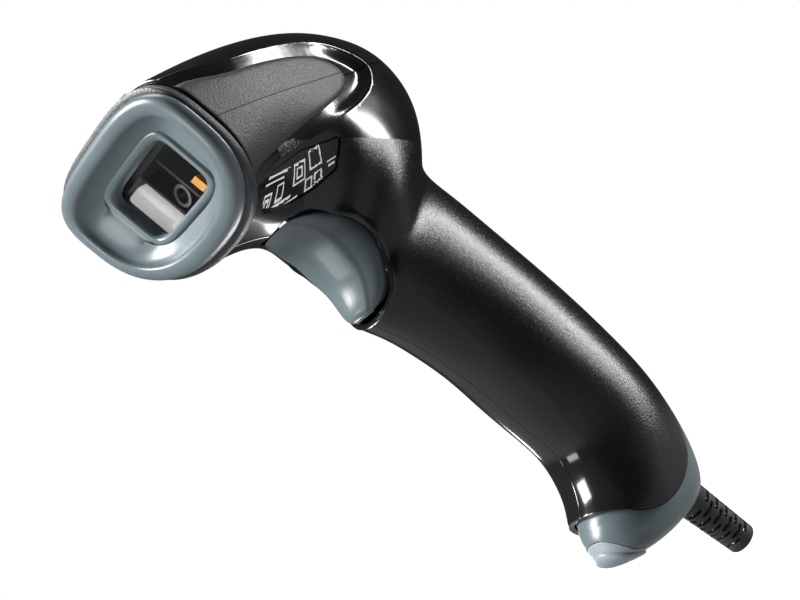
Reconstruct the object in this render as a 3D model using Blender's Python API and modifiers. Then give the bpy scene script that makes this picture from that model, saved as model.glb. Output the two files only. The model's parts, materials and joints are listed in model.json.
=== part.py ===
"""Corded pistol-grip barcode scanner. Nose towards -Y, handle down, +X is the scanner's left."""

import math

import bmesh
import bpy
import numpy as np
from mathutils import Matrix, Vector

MM = 0.001
GAP = 0.3 * MM

# Shells
WALL = 2.6 * MM
SEAM_HEIGHT = 108.0 * MM
RING_POINTS = 40

# Nose face: a plane that leans forward at the top
NOSE_CENTRE = np.array([0.0, -85.3, 108.3]) * MM
NOSE_LEAN = math.radians(19.0)
NOSE_HALF_WIDTH = 36.8 * MM
NOSE_ABOVE = 19.0 * MM
NOSE_BELOW = 25.6 * MM
HOUSING_ABOVE = 2.4 * MM
HOUSING_BELOW = 1.6 * MM
TOP_POWER = 3.4
BOTTOM_POWER = 2.4
BEZEL_DEPTH = 3.6 * MM
COLLAR_DEPTH = 3.0 * MM

# Window aperture in the nose face
APERTURE_HALF_WIDTH = 17.6 * MM
APERTURE_HALF_HEIGHT = 9.6 * MM
APERTURE_DROP = 1.4 * MM
APERTURE_DEPTH = 6.6 * MM
APERTURE_POWER = 6.0

# Trigger
TRIGGER_PIVOT = np.array([0.0, -42.5, 79.2]) * MM
TRIGGER_HUB_RADIUS = 3.6 * MM
PIN_RADIUS = 1.5 * MM
PIN_HALF_LENGTH = 18.6 * MM
HUB_HALF_LENGTH = 15.8 * MM
PIN_BOSS_START = 17.3 * MM
SWITCH_HEIGHT = 56.0 * MM
SPRING_HEIGHT = 67.0 * MM
SPRING_RADIUS = 2.3 * MM
SPRING_WIRE = 0.35 * MM
SPRING_TURNS = 6

# Screws across the housing halves (y, z)
SCREWS = [(-26.0, 87.0), (10.0, 12.0), (14.0, -22.0)]
BOSS_RADIUS = 3.5 * MM
SCREW_RADIUS = 1.2 * MM
SCREW_HEAD_RADIUS = 2.5 * MM
SCREW_HEAD_AT = -9.0 * MM

# Cable outlet
CABLE_START = np.array([0.0, 24.0, -58.0]) * MM
CABLE_END = np.array([0.0, 36.0, -85.0]) * MM
CABLE_RADIUS = 2.6 * MM
BOOT_ROOT_RADIUS = 6.4 * MM
BOOT_END_RADIUS = 5.4 * MM
BOOT_SLOTS = 6

# Main board
BOARD_LOW = np.array([-17.0, -43.0, 100.0]) * MM
BOARD_HIGH = np.array([17.0, -5.0, 101.6]) * MM

# Trigger stations: height, finger line, back line, half width
TRIGGER = np.array([
    (47.2, -47.6, -43.6, 7.6),
    (48.2, -48.9, -40.6, 9.8),
    (51.0, -48.8, -37.4, 12.0),
    (55.5, -48.9, -34.6, 13.8),
    (60.0, -49.6, -33.6, 15.4),
    (65.5, -51.2, -34.2, 16.4),
    (70.5, -53.6, -36.6, 16.8),
    (74.5, -56.2, -40.0, 16.8),
    (77.4, -58.4, -43.6, 16.2),
    (79.0, -60.0, -47.0, 14.8),
    (80.2, -61.4, -50.5, 11.6),
])

# Body stations: back point (y, z), front point (y, z), half width, place of the widest line, powers
BODY = np.array([
    (-85.0, 129.4, -69.6, 83.0, 37.0, 0.45, 3.6, 2.4),
    (-68.0, 131.2, -60.0, 80.5, 36.4, 0.45, 3.6, 2.4),
    (-52.0, 132.0, -53.0, 78.0, 35.2, 0.44, 3.6, 2.4),
    (-36.0, 131.8, -48.0, 75.0, 33.4, 0.43, 3.5, 2.4),
    (-20.0, 130.4, -45.5, 71.0, 31.4, 0.44, 3.2, 2.3),
    (-6.0, 126.6, -44.0, 67.0, 29.6, 0.45, 3.0, 2.3),
    (6.0, 119.3, -43.5, 63.0, 28.0, 0.46, 2.9, 2.3),
    (12.6, 108.6, -43.5, 59.0, 26.2, 0.47, 2.8, 2.3),
    (13.6, 97.0, -44.5, 54.5, 23.8, 0.48, 2.6, 2.3),
    (9.6, 86.0, -46.5, 50.0, 20.6, 0.49, 2.4, 2.3),
    (5.8, 77.0, -46.6, 44.5, 18.2, 0.5, 2.3, 2.3),
    (9.8, 65.0, -39.6, 37.5, 17.7, 0.5, 2.3, 2.2),
    (15.2, 51.0, -32.2, 28.5, 17.7, 0.5, 2.3, 2.2),
    (21.4, 34.0, -25.6, 15.5, 18.0, 0.5, 2.3, 2.2),
    (27.4, 16.0, -20.6, 2.0, 18.4, 0.5, 2.3, 2.3),
    (32.2, -2.0, -15.8, -11.0, 18.7, 0.5, 2.3, 2.3),
    (35.0, -17.0, -12.4, -22.0, 18.8, 0.5, 2.3, 2.3),
    (35.6, -30.0, -13.4, -31.0, 18.7, 0.5, 2.3, 2.2),
    (34.6, -41.0, -17.0, -38.0, 18.2, 0.5, 2.4, 2.1),
    (32.8, -49.0, -21.4, -43.8, 17.6, 0.5, 2.5, 2.1),
    (29.6, -56.0, -23.2, -51.0, 16.8, 0.5, 2.5, 2.1),
    (23.5, -60.6, -20.6, -57.4, 14.6, 0.5, 2.5, 2.1),
    (14.0, -62.6, -12.0, -61.0, 9.4, 0.5, 2.5, 2.1),
])
HOUSING_LAST = 20
HEAD_LAST = 9

# Side outlines (y, z)
PANEL = [(-84.0, 87.6), (-68.0, 93.0), (-50.0, 97.5), (-37.0, 100.0), (-26.0, 103.2), (-22.0, 107.6),
         (-25.0, 112.6), (-33.0, 116.4), (-48.0, 118.3), (-64.0, 118.6), (-85.5, 118.4)]
CHANNEL = [(-72.0, 89.2), (-60.0, 93.0), (-44.0, 94.6), (-27.0, 96.8), (-15.0, 100.6), (-9.0, 107.6),
           (-14.5, 115.0), (-24.0, 120.0), (-38.0, 121.8), (-60.0, 122.0), (-90.0, 121.8), (-88.0, 86.0)]
LABEL = [(-65.0, 90.2), (-39.5, 91.6), (-43.5, 82.6), (-69.5, 82.6)]
TRIGGER_OPENING = [(-64.0, 81.4), (-54.0, 80.8), (-44.5, 79.2), (-37.0, 71.6), (-33.2, 62.0), (-34.0, 53.5),
                   (-38.5, 47.2), (-45.0, 44.6), (-53.0, 44.6), (-70.0, 50.0), (-80.0, 74.0)]
CAP_LINE = [(-40.0, -40.4), (-24.0, -40.6), (-19.5, -41.4), (-14.0, -46.0), (-8.5, -50.0), (-2.0, -52.2),
            (5.0, -52.4), (12.0, -50.9), (18.0, -48.2), (22.0, -45.0), (25.0, -41.0), (28.5, -37.8), (34.0, -36.2),
            (45.0, -35.6)]
SOLE_LINE = [(-45.0, -48.5), (-31.0, -50.0), (-24.0, -51.4), (-16.0, -56.2), (-6.0, -59.2), (8.0, -60.0),
             (24.0, -60.0), (45.0, -60.0)]

COLOURS = {
    "black_gloss": ((0.012, 0.012, 0.013, 1.0), 0.18, 0.0),
    "soft_grey": ((0.035, 0.04, 0.045, 1.0), 0.65, 0.0),
    "blue_grey": ((0.19, 0.25, 0.28, 1.0), 0.4, 0.0),
    "pale_grey": ((0.42, 0.46, 0.5, 1.0), 0.4, 0.0),
    "clear": ((0.8, 0.85, 0.85, 1.0), 0.05, 0.0),
    "white_lens": ((0.8, 0.8, 0.78, 1.0), 0.2, 0.0),
    "black_matt": ((0.01, 0.01, 0.01, 1.0), 0.6, 0.0),
    "rubber": ((0.02, 0.02, 0.02, 1.0), 0.8, 0.0),
    "steel": ((0.6, 0.6, 0.6, 1.0), 0.3, 1.0),
    "board_green": ((0.02, 0.16, 0.06, 1.0), 0.5, 0.0),
    "amber": ((0.8, 0.35, 0.03, 1.0), 0.2, 0.0),
}


def clear_scene():
    for obj in list(bpy.data.objects):
        bpy.data.objects.remove(obj, do_unlink=True)


def material_for(name, look):
    colour, roughness, metallic = COLOURS[look]
    made = bpy.data.materials.new(name + "_material")
    made.use_nodes = True
    shader = made.node_tree.nodes["Principled BSDF"]
    shader.inputs["Base Color"].default_value = colour
    shader.inputs["Roughness"].default_value = roughness
    shader.inputs["Metallic"].default_value = metallic
    return made


def finish(obj, look, smooth=True):
    """Gives a mesh object its material and shading and puts it in the collection."""
    obj.data.materials.clear()
    obj.data.materials.append(material_for(obj.name, look))
    obj.data.shade_smooth() if smooth else obj.data.shade_flat()
    SCANNER.objects.link(obj)
    return obj


def from_bmesh(name, shape, look, smooth=True):
    bmesh.ops.recalc_face_normals(shape, faces=shape.faces)
    mesh = bpy.data.meshes.new(name)
    shape.to_mesh(mesh)
    shape.free()
    return finish(bpy.data.objects.new(name, mesh), look, smooth)


def add_loft(name, points, faces, look="black_matt"):
    """A lofted surface, for the forms that change section along their length."""
    mesh = bpy.data.meshes.new(name)
    mesh.from_pydata([tuple(point) for point in points], [], faces)
    shape = bmesh.new()
    shape.from_mesh(mesh)
    bpy.data.meshes.remove(mesh)
    bmesh.ops.remove_doubles(shape, verts=shape.verts, dist=1e-6)
    return from_bmesh(name, shape, look)


def bake(obj):
    """Replaces the object's mesh with the result of its modifiers."""
    bpy.context.view_layer.update()
    graph = bpy.context.evaluated_depsgraph_get()
    mesh = bpy.data.meshes.new_from_object(obj.evaluated_get(graph))
    obj.modifiers.clear()
    obj.data = mesh
    return obj


def tidy(obj):
    """Closes the slivers that a Boolean leaves."""
    shape = bmesh.new()
    shape.from_mesh(obj.data)
    bmesh.ops.remove_doubles(shape, verts=shape.verts, dist=2e-6)
    bmesh.ops.dissolve_degenerate(shape, edges=shape.edges, dist=2e-6)
    shape.to_mesh(obj.data)
    shape.free()


def combine(obj, other, operation, keep_other=False):
    step = obj.modifiers.new(operation, "BOOLEAN")
    step.operation = operation
    step.solver = "EXACT"
    step.object = other
    bake(obj)
    tidy(obj)
    if not keep_other:
        bpy.data.objects.remove(other, do_unlink=True)
    return obj


def bevel(obj, width, segments=2):
    step = obj.modifiers.new("edges", "BEVEL")
    step.width = width
    step.segments = segments
    step.limit_method = "ANGLE"
    step.angle_limit = math.radians(40.0)
    return bake(obj)


def mirrored(obj, name):
    """A copy of the object on the other side of the centre plane."""
    mesh = obj.data.copy()
    shape = bmesh.new()
    shape.from_mesh(mesh)
    for vertex in shape.verts:
        vertex.co.x = -vertex.co.x
    bmesh.ops.reverse_faces(shape, faces=shape.faces)
    shape.to_mesh(mesh)
    shape.free()
    copy = bpy.data.objects.new(name, mesh)
    copy.location = (-obj.location.x, obj.location.y, obj.location.z)
    mesh.materials[0] = obj.data.materials[0].copy()
    mesh.materials[0].name = name + "_material"
    SCANNER.objects.link(copy)
    return copy


def set_origin(obj, origin):
    shift = np.array(origin)
    for vertex in obj.data.vertices:
        vertex.co = tuple(np.array(vertex.co) - shift)
    obj.location = tuple(shift)
    return obj


def curve_through(points, per_span, closed=False):
    """Catmull-Rom points through the given rows."""
    rows = np.array(points, float)
    count = len(rows)
    spans = count if closed else count - 1
    found = []
    for i in range(spans):
        if closed:
            a, b, c, d = (rows[(i + k) % count] for k in (-1, 0, 1, 2))
        else:
            a, b, c, d = (rows[min(max(i + k, 0), count - 1)] for k in (-1, 0, 1, 2))
        for t in np.arange(per_span) / per_span:
            found.append(0.5 * (2 * b + (c - a) * t + (2 * a - 5 * b + 4 * c - d) * t**2
                                + (3 * b - a - 3 * c + d) * t**3))
    if not closed:
        found.append(rows[-1])
    return np.array(found)


def signed_power(value, power):
    return math.copysign(abs(value) ** power, value)


def loft(rings, cap_start=True, cap_end=True):
    """Points and faces of the surface through rings of equal length."""
    count = len(rings[0])
    points = [point for ring in rings for point in ring]
    faces = []
    for i in range(len(rings) - 1):
        for j in range(count):
            k = (j + 1) % count
            faces.append((i * count + j, i * count + k, (i + 1) * count + k, (i + 1) * count + j))
    if cap_start:
        faces.append(tuple(reversed(range(count))))
    if cap_end:
        last = (len(rings) - 1) * count
        faces.append(tuple(range(last, last + count)))
    return points, faces


def prism(name, outline, x_from, x_to, look="black_matt"):
    """A side outline (y, z) extruded across the scanner."""
    plane = Matrix(((0, 0, 1, (x_from + x_to) / 2), (1, 0, 0, 0), (0, 1, 0, 0), (0, 0, 0, 1)))
    return slab(name, outline, abs(x_to - x_from), plane, look)


def slab(name, outline, thickness, plane, look="black_matt"):
    """A flat outline extruded to a thickness, placed by a matrix."""
    curve = bpy.data.curves.new(name, "CURVE")
    curve.dimensions = "2D"
    curve.fill_mode = "BOTH"
    curve.extrude = thickness / 2
    spline = curve.splines.new("POLY")
    spline.points.add(len(outline) - 1)
    for point, place in zip(spline.points, outline):
        point.co = (place[0], place[1], 0.0, 1.0)
    spline.use_cyclic_u = True
    guide = bpy.data.objects.new("outline", curve)
    bpy.context.scene.collection.objects.link(guide)
    bpy.context.view_layer.update()
    mesh = bpy.data.meshes.new_from_object(guide.evaluated_get(bpy.context.evaluated_depsgraph_get()))
    bpy.data.objects.remove(guide, do_unlink=True)
    shape = bmesh.new()
    shape.from_mesh(mesh)
    bmesh.ops.remove_doubles(shape, verts=shape.verts, dist=1e-6)
    bmesh.ops.transform(shape, matrix=plane, verts=shape.verts)
    return from_bmesh(name, shape, look, smooth=False)


def box(name, low, high, look="black_matt"):
    low, high = Vector(low), Vector(high)
    size = high - low
    shape = bmesh.new()
    bmesh.ops.create_cube(shape, size=1.0, matrix=Matrix.LocRotScale((low + high) / 2, None, size))
    return from_bmesh(name, shape, look, smooth=False)


def rod(name, start, end, radius, look="black_matt", sides=20):
    """A round bar between two points."""
    start, end = Vector(start), Vector(end)
    turn = (end - start).to_track_quat("Z", "Y")
    shape = bmesh.new()
    bmesh.ops.create_cone(shape, cap_ends=True, segments=sides, radius1=radius, radius2=radius,
                          depth=(end - start).length, matrix=Matrix.LocRotScale((start + end) / 2, turn, None))
    made = from_bmesh(name, shape, look)
    made.data.set_sharp_from_angle(angle=math.radians(40.0))
    return made


def body_rings(first, last, inset=0.0):
    """Rounded sections that fan from the nose round into the handle."""
    rings = []
    for row in BODY[first:last + 1]:
        back, front = row[0:2] * MM, row[2:4] * MM
        across_body = (front - back) / np.linalg.norm(front - back)
        back, front = back + across_body * inset, front - across_body * inset
        half_width, widest, back_power, front_power = row[4] * MM - inset, row[5], row[6], row[7]
        centre = back + (front - back) * widest
        ring = []
        for i in range(RING_POINTS):
            angle = 2 * math.pi * (i + 0.5) / RING_POINTS
            towards_back = math.cos(angle) > 0
            power = 2.0 / (back_power if towards_back else front_power)
            reach = (back if towards_back else front) - centre
            along = abs(math.cos(angle)) ** power
            across = half_width * signed_power(math.sin(angle), power)
            ring.append((across, *(centre + reach * along)))
        rings.append(ring)
    return rings


def skin(name, first, last, outside, inside, look="black_matt", closed_end=False, lead=0.0):
    """A layer that follows the body, from outside to inside of its surface."""
    rings = body_rings(first, last)
    if lead:
        rings.insert(0, [(x, y - lead, z) for x, y, z in rings[0]])
    points, faces = loft(rings, cap_start=False, cap_end=closed_end)
    obj = add_loft(name, points, faces, look)
    step = obj.modifiers.new("wall", "SOLIDIFY")
    step.thickness = outside + inside
    step.offset = (outside - inside) / (outside + inside)
    step.use_even_offset = True
    bake(obj)
    shape = bmesh.new()
    shape.from_mesh(obj.data)
    bmesh.ops.recalc_face_normals(shape, faces=shape.faces)
    shape.to_mesh(obj.data)
    shape.free()
    return obj


def nose_point(x, down, depth):
    """A point of the nose: x across, down the face, depth straight back."""
    return NOSE_CENTRE + np.array([x, down * math.sin(NOSE_LEAN) + depth, -down * math.cos(NOSE_LEAN)])


def nose_outline(inset, depth, blend=0.0, proud=0.0, count=44):
    """The face outline moved inwards, blended towards the aperture outline, or grown to the housing's."""
    ring = []
    for i in range(count):
        angle = 2 * math.pi * (i + 0.5) / count
        above = math.sin(angle) < 0
        power = 2.0 / (TOP_POWER if above else BOTTOM_POWER)
        height = (NOSE_ABOVE if above else NOSE_BELOW) - inset
        height += proud * (HOUSING_ABOVE if above else HOUSING_BELOW)
        outer = np.array([(NOSE_HALF_WIDTH - inset) * signed_power(math.cos(angle), power),
                          height * signed_power(math.sin(angle), power)])
        inner_power = 2.0 / APERTURE_POWER
        inner = np.array([APERTURE_HALF_WIDTH * signed_power(math.cos(angle), inner_power),
                          APERTURE_DROP + APERTURE_HALF_HEIGHT * signed_power(math.sin(angle), inner_power)])
        x, down = outer * (1 - blend) + inner * blend
        ring.append(nose_point(x, down, depth))
    return ring


def aperture_outline(grow, depth, count=44):
    ring = []
    power = 2.0 / APERTURE_POWER
    for i in range(count):
        angle = 2 * math.pi * (i + 0.5) / count
        x = (APERTURE_HALF_WIDTH + grow) * signed_power(math.cos(angle), power)
        down = APERTURE_DROP + (APERTURE_HALF_HEIGHT + grow) * signed_power(math.sin(angle), power)
        ring.append(nose_point(x, down, depth))
    return ring


def build_bezel():
    """Rounded lip, funnel and raised edge round the aperture, as one ring-shaped solid."""
    rings = [nose_outline(0.3 * MM, BEZEL_DEPTH)]
    rings.append(nose_outline(0.0, 2.2 * MM))
    rings.append(nose_outline(0.5 * MM, 1.0 * MM))
    rings.append(nose_outline(1.4 * MM, 0.2 * MM))
    rings.append(nose_outline(2.4 * MM, 0.0))
    rings.append(nose_outline(3.3 * MM, 0.3 * MM))
    rings.append(nose_outline(4.2 * MM, 1.3 * MM))
    rings.append(nose_outline(4.2 * MM, 3.2 * MM, 0.5))
    rings.append(aperture_outline(2.4 * MM, APERTURE_DEPTH - 0.4 * MM))
    rings.append(aperture_outline(2.0 * MM, APERTURE_DEPTH - 1.0 * MM))
    rings.append(aperture_outline(0.8 * MM, APERTURE_DEPTH - 0.8 * MM))
    rings.append(aperture_outline(0.0, APERTURE_DEPTH + 0.4 * MM))
    rings.append(aperture_outline(0.0, APERTURE_DEPTH + 2.6 * MM))
    rings.append(aperture_outline(2.6 * MM, APERTURE_DEPTH + 2.6 * MM))
    rings.append(nose_outline(6.4 * MM, BEZEL_DEPTH + 3.4 * MM, 0.15))
    rings.append(nose_outline(4.2 * MM, BEZEL_DEPTH + 3.4 * MM))
    rings.append(nose_outline(3.2 * MM, BEZEL_DEPTH))
    rings.append(rings[0])
    points, faces = loft(rings, cap_start=False, cap_end=False)
    return add_loft("bezel", points, faces, "blue_grey")


def build_collar():
    """Grained ring between the bezel and the housing, a little proud above and below."""
    start = BEZEL_DEPTH + GAP
    end = start + COLLAR_DEPTH - 2 * GAP
    rings = []
    for inset, proud, depth in ((2.8, 0.0, start), (0.5, 0.7, start), (0.0, 1.0, start + 0.6 * MM), (0.0, 1.0, end),
                                (2.8, 0.0, end)):
        rings.append(nose_outline(inset * MM, depth, proud=proud))
    rings.append(rings[0])
    points, faces = loft(rings, cap_start=False, cap_end=False)
    return add_loft("nose_collar", points, faces, "soft_grey")


def side_piece(name, outline, outside, inside, look, lead=0.0):
    """The part of a body layer inside a side outline, on the scanner's left."""
    layer = skin(name, 0, HEAD_LAST, outside, inside, look, lead=lead)
    region = prism("region", outline, 6.0 * MM, 60.0 * MM)
    return combine(layer, region, "INTERSECT")


def head_outline(points):
    return curve_through(np.array(points) * MM, 3, closed=True)


def line_region(line, shift, below):
    """The side outline below or above a line, moved up by shift."""
    points = list(curve_through(np.array(line) * MM, 3) + np.array([0.0, shift]))
    level = -95.0 if below else 40.0
    points += [np.array([60.0, level]) * MM, np.array([-60.0, level]) * MM]
    return points


def across(name, x_from, x_to, at, radius, sides=16):
    """A bar across the scanner at a side position (y, z)."""
    return rod(name, (x_from, at[0], at[1]), (x_to, at[0], at[1]), radius, sides=sides)


def add_bosses(whole):
    """Screw bosses and pin bosses, held inside the wall."""
    for at in list(np.array(SCREWS) * MM):
        boss = across("boss", -40.0 * MM, 40.0 * MM, at, BOSS_RADIUS)
        combine(boss, core(), "INTERSECT")
        combine(whole, boss, "UNION")
        combine(whole, across("bore", -40.0 * MM, 9.0 * MM, at, SCREW_RADIUS + GAP), "DIFFERENCE")
        combine(whole, across("sink", -40.0 * MM, SCREW_HEAD_AT, at, SCREW_HEAD_RADIUS + GAP), "DIFFERENCE")
    at = TRIGGER_PIVOT[1:]
    for side in (-1, 1):
        boss = across("boss", side * PIN_BOSS_START, side * 40.0 * MM, at, TRIGGER_HUB_RADIUS)
        combine(boss, core(), "INTERSECT")
        combine(whole, boss, "UNION")
    combine(whole, across("bore", -PIN_HALF_LENGTH - GAP, PIN_HALF_LENGTH + GAP, at, PIN_RADIUS + GAP), "DIFFERENCE")


def core():
    """The inside of the body, reaching halfway into the wall."""
    points, faces = loft(body_rings(0, HOUSING_LAST, inset=1.3 * MM))
    return add_loft("core", points, faces)


def build_shells():
    """Head cover above the seam, and a left and a right housing below it."""
    whole = skin("whole", 0, HOUSING_LAST, 0.0, WALL, "black_gloss")
    channel = side_piece("channel", head_outline(CHANNEL), 1.2 * MM, 1.6 * MM, "black_gloss", lead=2.0 * MM)
    channel_right = mirrored(channel, "channel_right")
    label = side_piece("label_recess", np.array(LABEL) * MM, 1.2 * MM, 0.95 * MM, "black_gloss")
    opening = prism("opening", head_outline(TRIGGER_OPENING), -40.0 * MM, 40.0 * MM)
    foot = prism("foot", line_region(CAP_LINE, GAP / 2, below=True), -40.0 * MM, 40.0 * MM)
    for cutter in (channel, channel_right, label, opening, foot):
        combine(whole, cutter, "DIFFERENCE")
    add_bosses(whole)
    shells = []
    seam = SEAM_HEIGHT
    for name, low, high in (
        ("head_cover", (-60, -120, seam / MM + 0.15), (60, 40, 150)),
        ("left_housing", (0.15, -120, -90), (60, 60, seam / MM - 0.15)),
        ("right_housing", (-60, -120, -90), (-0.15, 60, seam / MM - 0.15)),
    ):
        piece = bpy.data.objects.new(name, whole.data.copy())
        piece.data.materials[0] = material_for(name, "black_gloss")
        SCANNER.objects.link(piece)
        region = box("region", np.array(low) * MM, np.array(high) * MM)
        shells.append(combine(piece, region, "INTERSECT"))
    bpy.data.objects.remove(whole, do_unlink=True)
    return shells


def build_side_panels():
    """Grained inlays in the side channels, split along the same seam as the shells."""
    panel = side_piece("panel", head_outline(PANEL), 0.2 * MM, 1.2 * MM, "soft_grey")
    seam = SEAM_HEIGHT / MM
    for end, low, high in (("upper", seam + 0.15, 150), ("lower", 60, seam - 0.15)):
        half = bpy.data.objects.new("left_panel_" + end, panel.data.copy())
        half.data.materials[0] = material_for(half.name, "soft_grey")
        SCANNER.objects.link(half)
        region = box("region", np.array((0, -120, low)) * MM, np.array((60, 40, high)) * MM)
        combine(half, region, "INTERSECT")
        mirrored(half, "right_panel_" + end)
    bpy.data.objects.remove(panel, do_unlink=True)


def build_label():
    inner = []
    middle = np.mean(np.array(LABEL), axis=0)
    for corner in np.array(LABEL):
        inner.append((corner + 0.35 * np.sign(middle - corner)) * MM)
    side_piece("rating_label", inner, -0.1 * MM, 0.65 * MM, "black_matt")


def build_window():
    front = aperture_outline(2.2 * MM, APERTURE_DEPTH + 2.9 * MM)
    back = aperture_outline(2.2 * MM, APERTURE_DEPTH + 4.3 * MM)
    points, faces = loft([front, back])
    add_loft("scan_window", points, faces, "clear")


def build_trigger():
    """Curved trigger with a rounded finger side, on a pin under the head."""
    rings = []
    for height, finger, back, half_width in TRIGGER * MM:
        ring = []
        for i in range(25):
            angle = math.pi * i / 24
            across = half_width * signed_power(math.cos(angle), 2 / 2.4)
            depth = (back - finger) * abs(math.sin(angle)) ** (2 / 2.4)
            ring.append((across, back - depth, height))
        ring.append((-half_width, back + 0.4 * MM, height))
        ring.append((half_width, back + 0.4 * MM, height))
        rings.append(ring)
    points, faces = loft(rings)
    trigger = add_loft("trigger", points, faces, "blue_grey")
    half_hub = np.array([HUB_HALF_LENGTH, 0.0, 0.0])
    hub = rod("hub", TRIGGER_PIVOT - half_hub, TRIGGER_PIVOT + half_hub, TRIGGER_HUB_RADIUS)
    combine(trigger, hub, "UNION")
    bore = rod("bore", TRIGGER_PIVOT + np.array([-20.0, 0, 0]) * MM, TRIGGER_PIVOT + np.array([20.0, 0, 0]) * MM,
               PIN_RADIUS + GAP)
    combine(trigger, bore, "DIFFERENCE")
    set_origin(trigger, TRIGGER_PIVOT)
    pin = rod("trigger_pin", TRIGGER_PIVOT - np.array([PIN_HALF_LENGTH, 0, 0]),
              TRIGGER_PIVOT + np.array([PIN_HALF_LENGTH, 0, 0]), PIN_RADIUS, "steel")
    set_origin(pin, TRIGGER_PIVOT)


def nose_block(name, x, down, depth, look="black_matt"):
    """A block in the leaning frame of the nose; each argument is a (from, to) pair in millimetres."""
    centre = nose_point(*(sum(pair) / 2 * MM for pair in (x, down, depth)))
    size = [(pair[1] - pair[0]) * MM for pair in (x, down, depth)]
    place = Matrix((
        (size[0], 0.0, 0.0, centre[0]),
        (0.0, size[1] * math.sin(NOSE_LEAN), size[2], centre[1]),
        (0.0, -size[1] * math.cos(NOSE_LEAN), 0.0, centre[2]),
        (0.0, 0.0, 0.0, 1.0),
    ))
    shape = bmesh.new()
    bmesh.ops.create_cube(shape, size=1.0, matrix=place)
    return from_bmesh(name, shape, look, smooth=False)


def build_engine():
    """Imaging engine behind the window: tray with fins, lenses, lamp and sensor."""
    chassis = nose_block("engine_chassis", (-26, 26), (-10, 14), (14.2, 32))
    combine(chassis, nose_block("pocket", (-24, 24), (-8.2, 12.2), (12, 30)), "DIFFERENCE")
    for x in (-13.0, -2.5, 9.0):
        combine(chassis, nose_block("fin", (x, x + 1.0), (-9.5, 13.5), (16.5, 31)), "UNION")
    nose_at = nose_point(-7.2 * MM, 3.5 * MM, 0.0)
    back = np.array([0.0, 1.0, 0.0])
    combine(chassis, rod("bore", nose_at + back * 0.025, nose_at + back * 0.04, 3.9 * MM), "DIFFERENCE")
    barrel = rod("lens_barrel", nose_at + back * 17.0 * MM, nose_at + back * 31.5 * MM, 3.6 * MM, "black_matt")
    combine(barrel, rod("bore", nose_at + back * 0.01, nose_at + back * 0.04, 2.5 * MM), "DIFFERENCE")
    rod("imaging_lens", nose_at + back * 18.0 * MM, nose_at + back * 20.0 * MM, 2.2 * MM, "clear")
    lamp = nose_block("illumination_lens", (-23.2, -14.4), (-7.4, 10.8), (14.6, 20.0), "white_lens")
    bevel(lamp, 1.6 * MM, 3)
    nose_block("lamp_board", (-23.4, -14.0), (-7.6, 11.2), (21.0, 22.2), "board_green")
    nose_block("aiming_led", (1.2, 4.4), (3.0, 7.5), (16.0, 29.5), "amber")
    nose_block("status_led", (14.0, 17.0), (-5.0, -2.0), (17.0, 29.5), "white_lens")
    nose_block("image_sensor", (-10.5, -4.0), (1.0, 6.0), (32.4, 33.8), "black_matt")
    nose_block("sensor_board", (-20, 20), (-7, 9), (34.2, 35.6), "board_green")


def build_electronics():
    box("main_board", BOARD_LOW, BOARD_HIGH, "board_green")
    top = (BOARD_HIGH[2] + GAP) / MM
    for name, x, y, size, look in (
        ("decoder_chip", 4.0, -32.0, (12.0, 12.0, 1.4), "black_matt"),
        ("memory_chip", -9.0, -33.0, (7.0, 9.0, 1.1), "black_matt"),
        ("oscillator", -9.0, -23.0, (5.0, 3.2, 1.2), "steel"),
    ):
        low = np.array((x - size[0] / 2, y - size[1] / 2, top)) * MM
        high = np.array((x + size[0] / 2, y + size[1] / 2, top + size[2])) * MM
        box(name, low, high, look)
    rod("beeper", np.array((5.0, -14.0, top)) * MM, np.array((5.0, -14.0, top + 4.5)) * MM, 6.0 * MM)
    box("board_connector", np.array((-13.0, -12.0, top)) * MM, np.array((-4.0, -7.0, top + 4.0)) * MM, "pale_grey")


def build_switch():
    """Switch and return spring between the trigger and a small upright board."""
    body = box("switch_body", np.array((-4.0, -30.0, 52.0)) * MM, np.array((4.0, -21.3, 60.0)) * MM)
    front = (0.0, -33.6 * MM, SWITCH_HEIGHT)
    combine(body, rod("bore", (0.0, -0.04, SWITCH_HEIGHT), (0.0, -24.5 * MM, SWITCH_HEIGHT), 1.8 * MM), "DIFFERENCE")
    plunger = rod("switch_plunger", front, (0.0, -27.0 * MM, SWITCH_HEIGHT), 1.5 * MM, "pale_grey")
    set_origin(plunger, front)
    box("switch_board", np.array((-8.0, -21.0, 46.0)) * MM, np.array((8.0, -19.6, 71.0)) * MM, "board_green")
    start, end = -33.4 * MM, -21.3 * MM
    turns = SPRING_TURNS * 10
    path = []
    for i in range(turns + 1):
        angle = 2 * math.pi * i / 10
        y = start + SPRING_WIRE + (end - start - 2 * SPRING_WIRE) * i / turns
        path.append((SPRING_RADIUS * math.cos(angle), y, SPRING_HEIGHT + SPRING_RADIUS * math.sin(angle)))
    wire("trigger_spring", path, SPRING_WIRE, "steel", 1)


def wire(name, path, radius, look, roundness=2):
    """A round wire along a path of points."""
    curve = bpy.data.curves.new(name, "CURVE")
    curve.dimensions = "3D"
    spline = curve.splines.new("POLY")
    spline.points.add(len(path) - 1)
    for point, place in zip(spline.points, path):
        point.co = (*place, 1.0)
    curve.bevel_depth = radius
    curve.bevel_resolution = roundness
    curve.use_fill_caps = True
    curve.materials.append(material_for(name, look))
    obj = bpy.data.objects.new(name, curve)
    SCANNER.objects.link(obj)
    return obj


def along_cable(distance):
    """The point on the cable's axis this far beyond its start."""
    direction = (CABLE_END - CABLE_START) / np.linalg.norm(CABLE_END - CABLE_START)
    return CABLE_START + direction * distance


def cable_turn():
    """The turn from +Z to the cable's direction."""
    return Vector(CABLE_END - CABLE_START).to_track_quat("Z", "Y")


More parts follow.
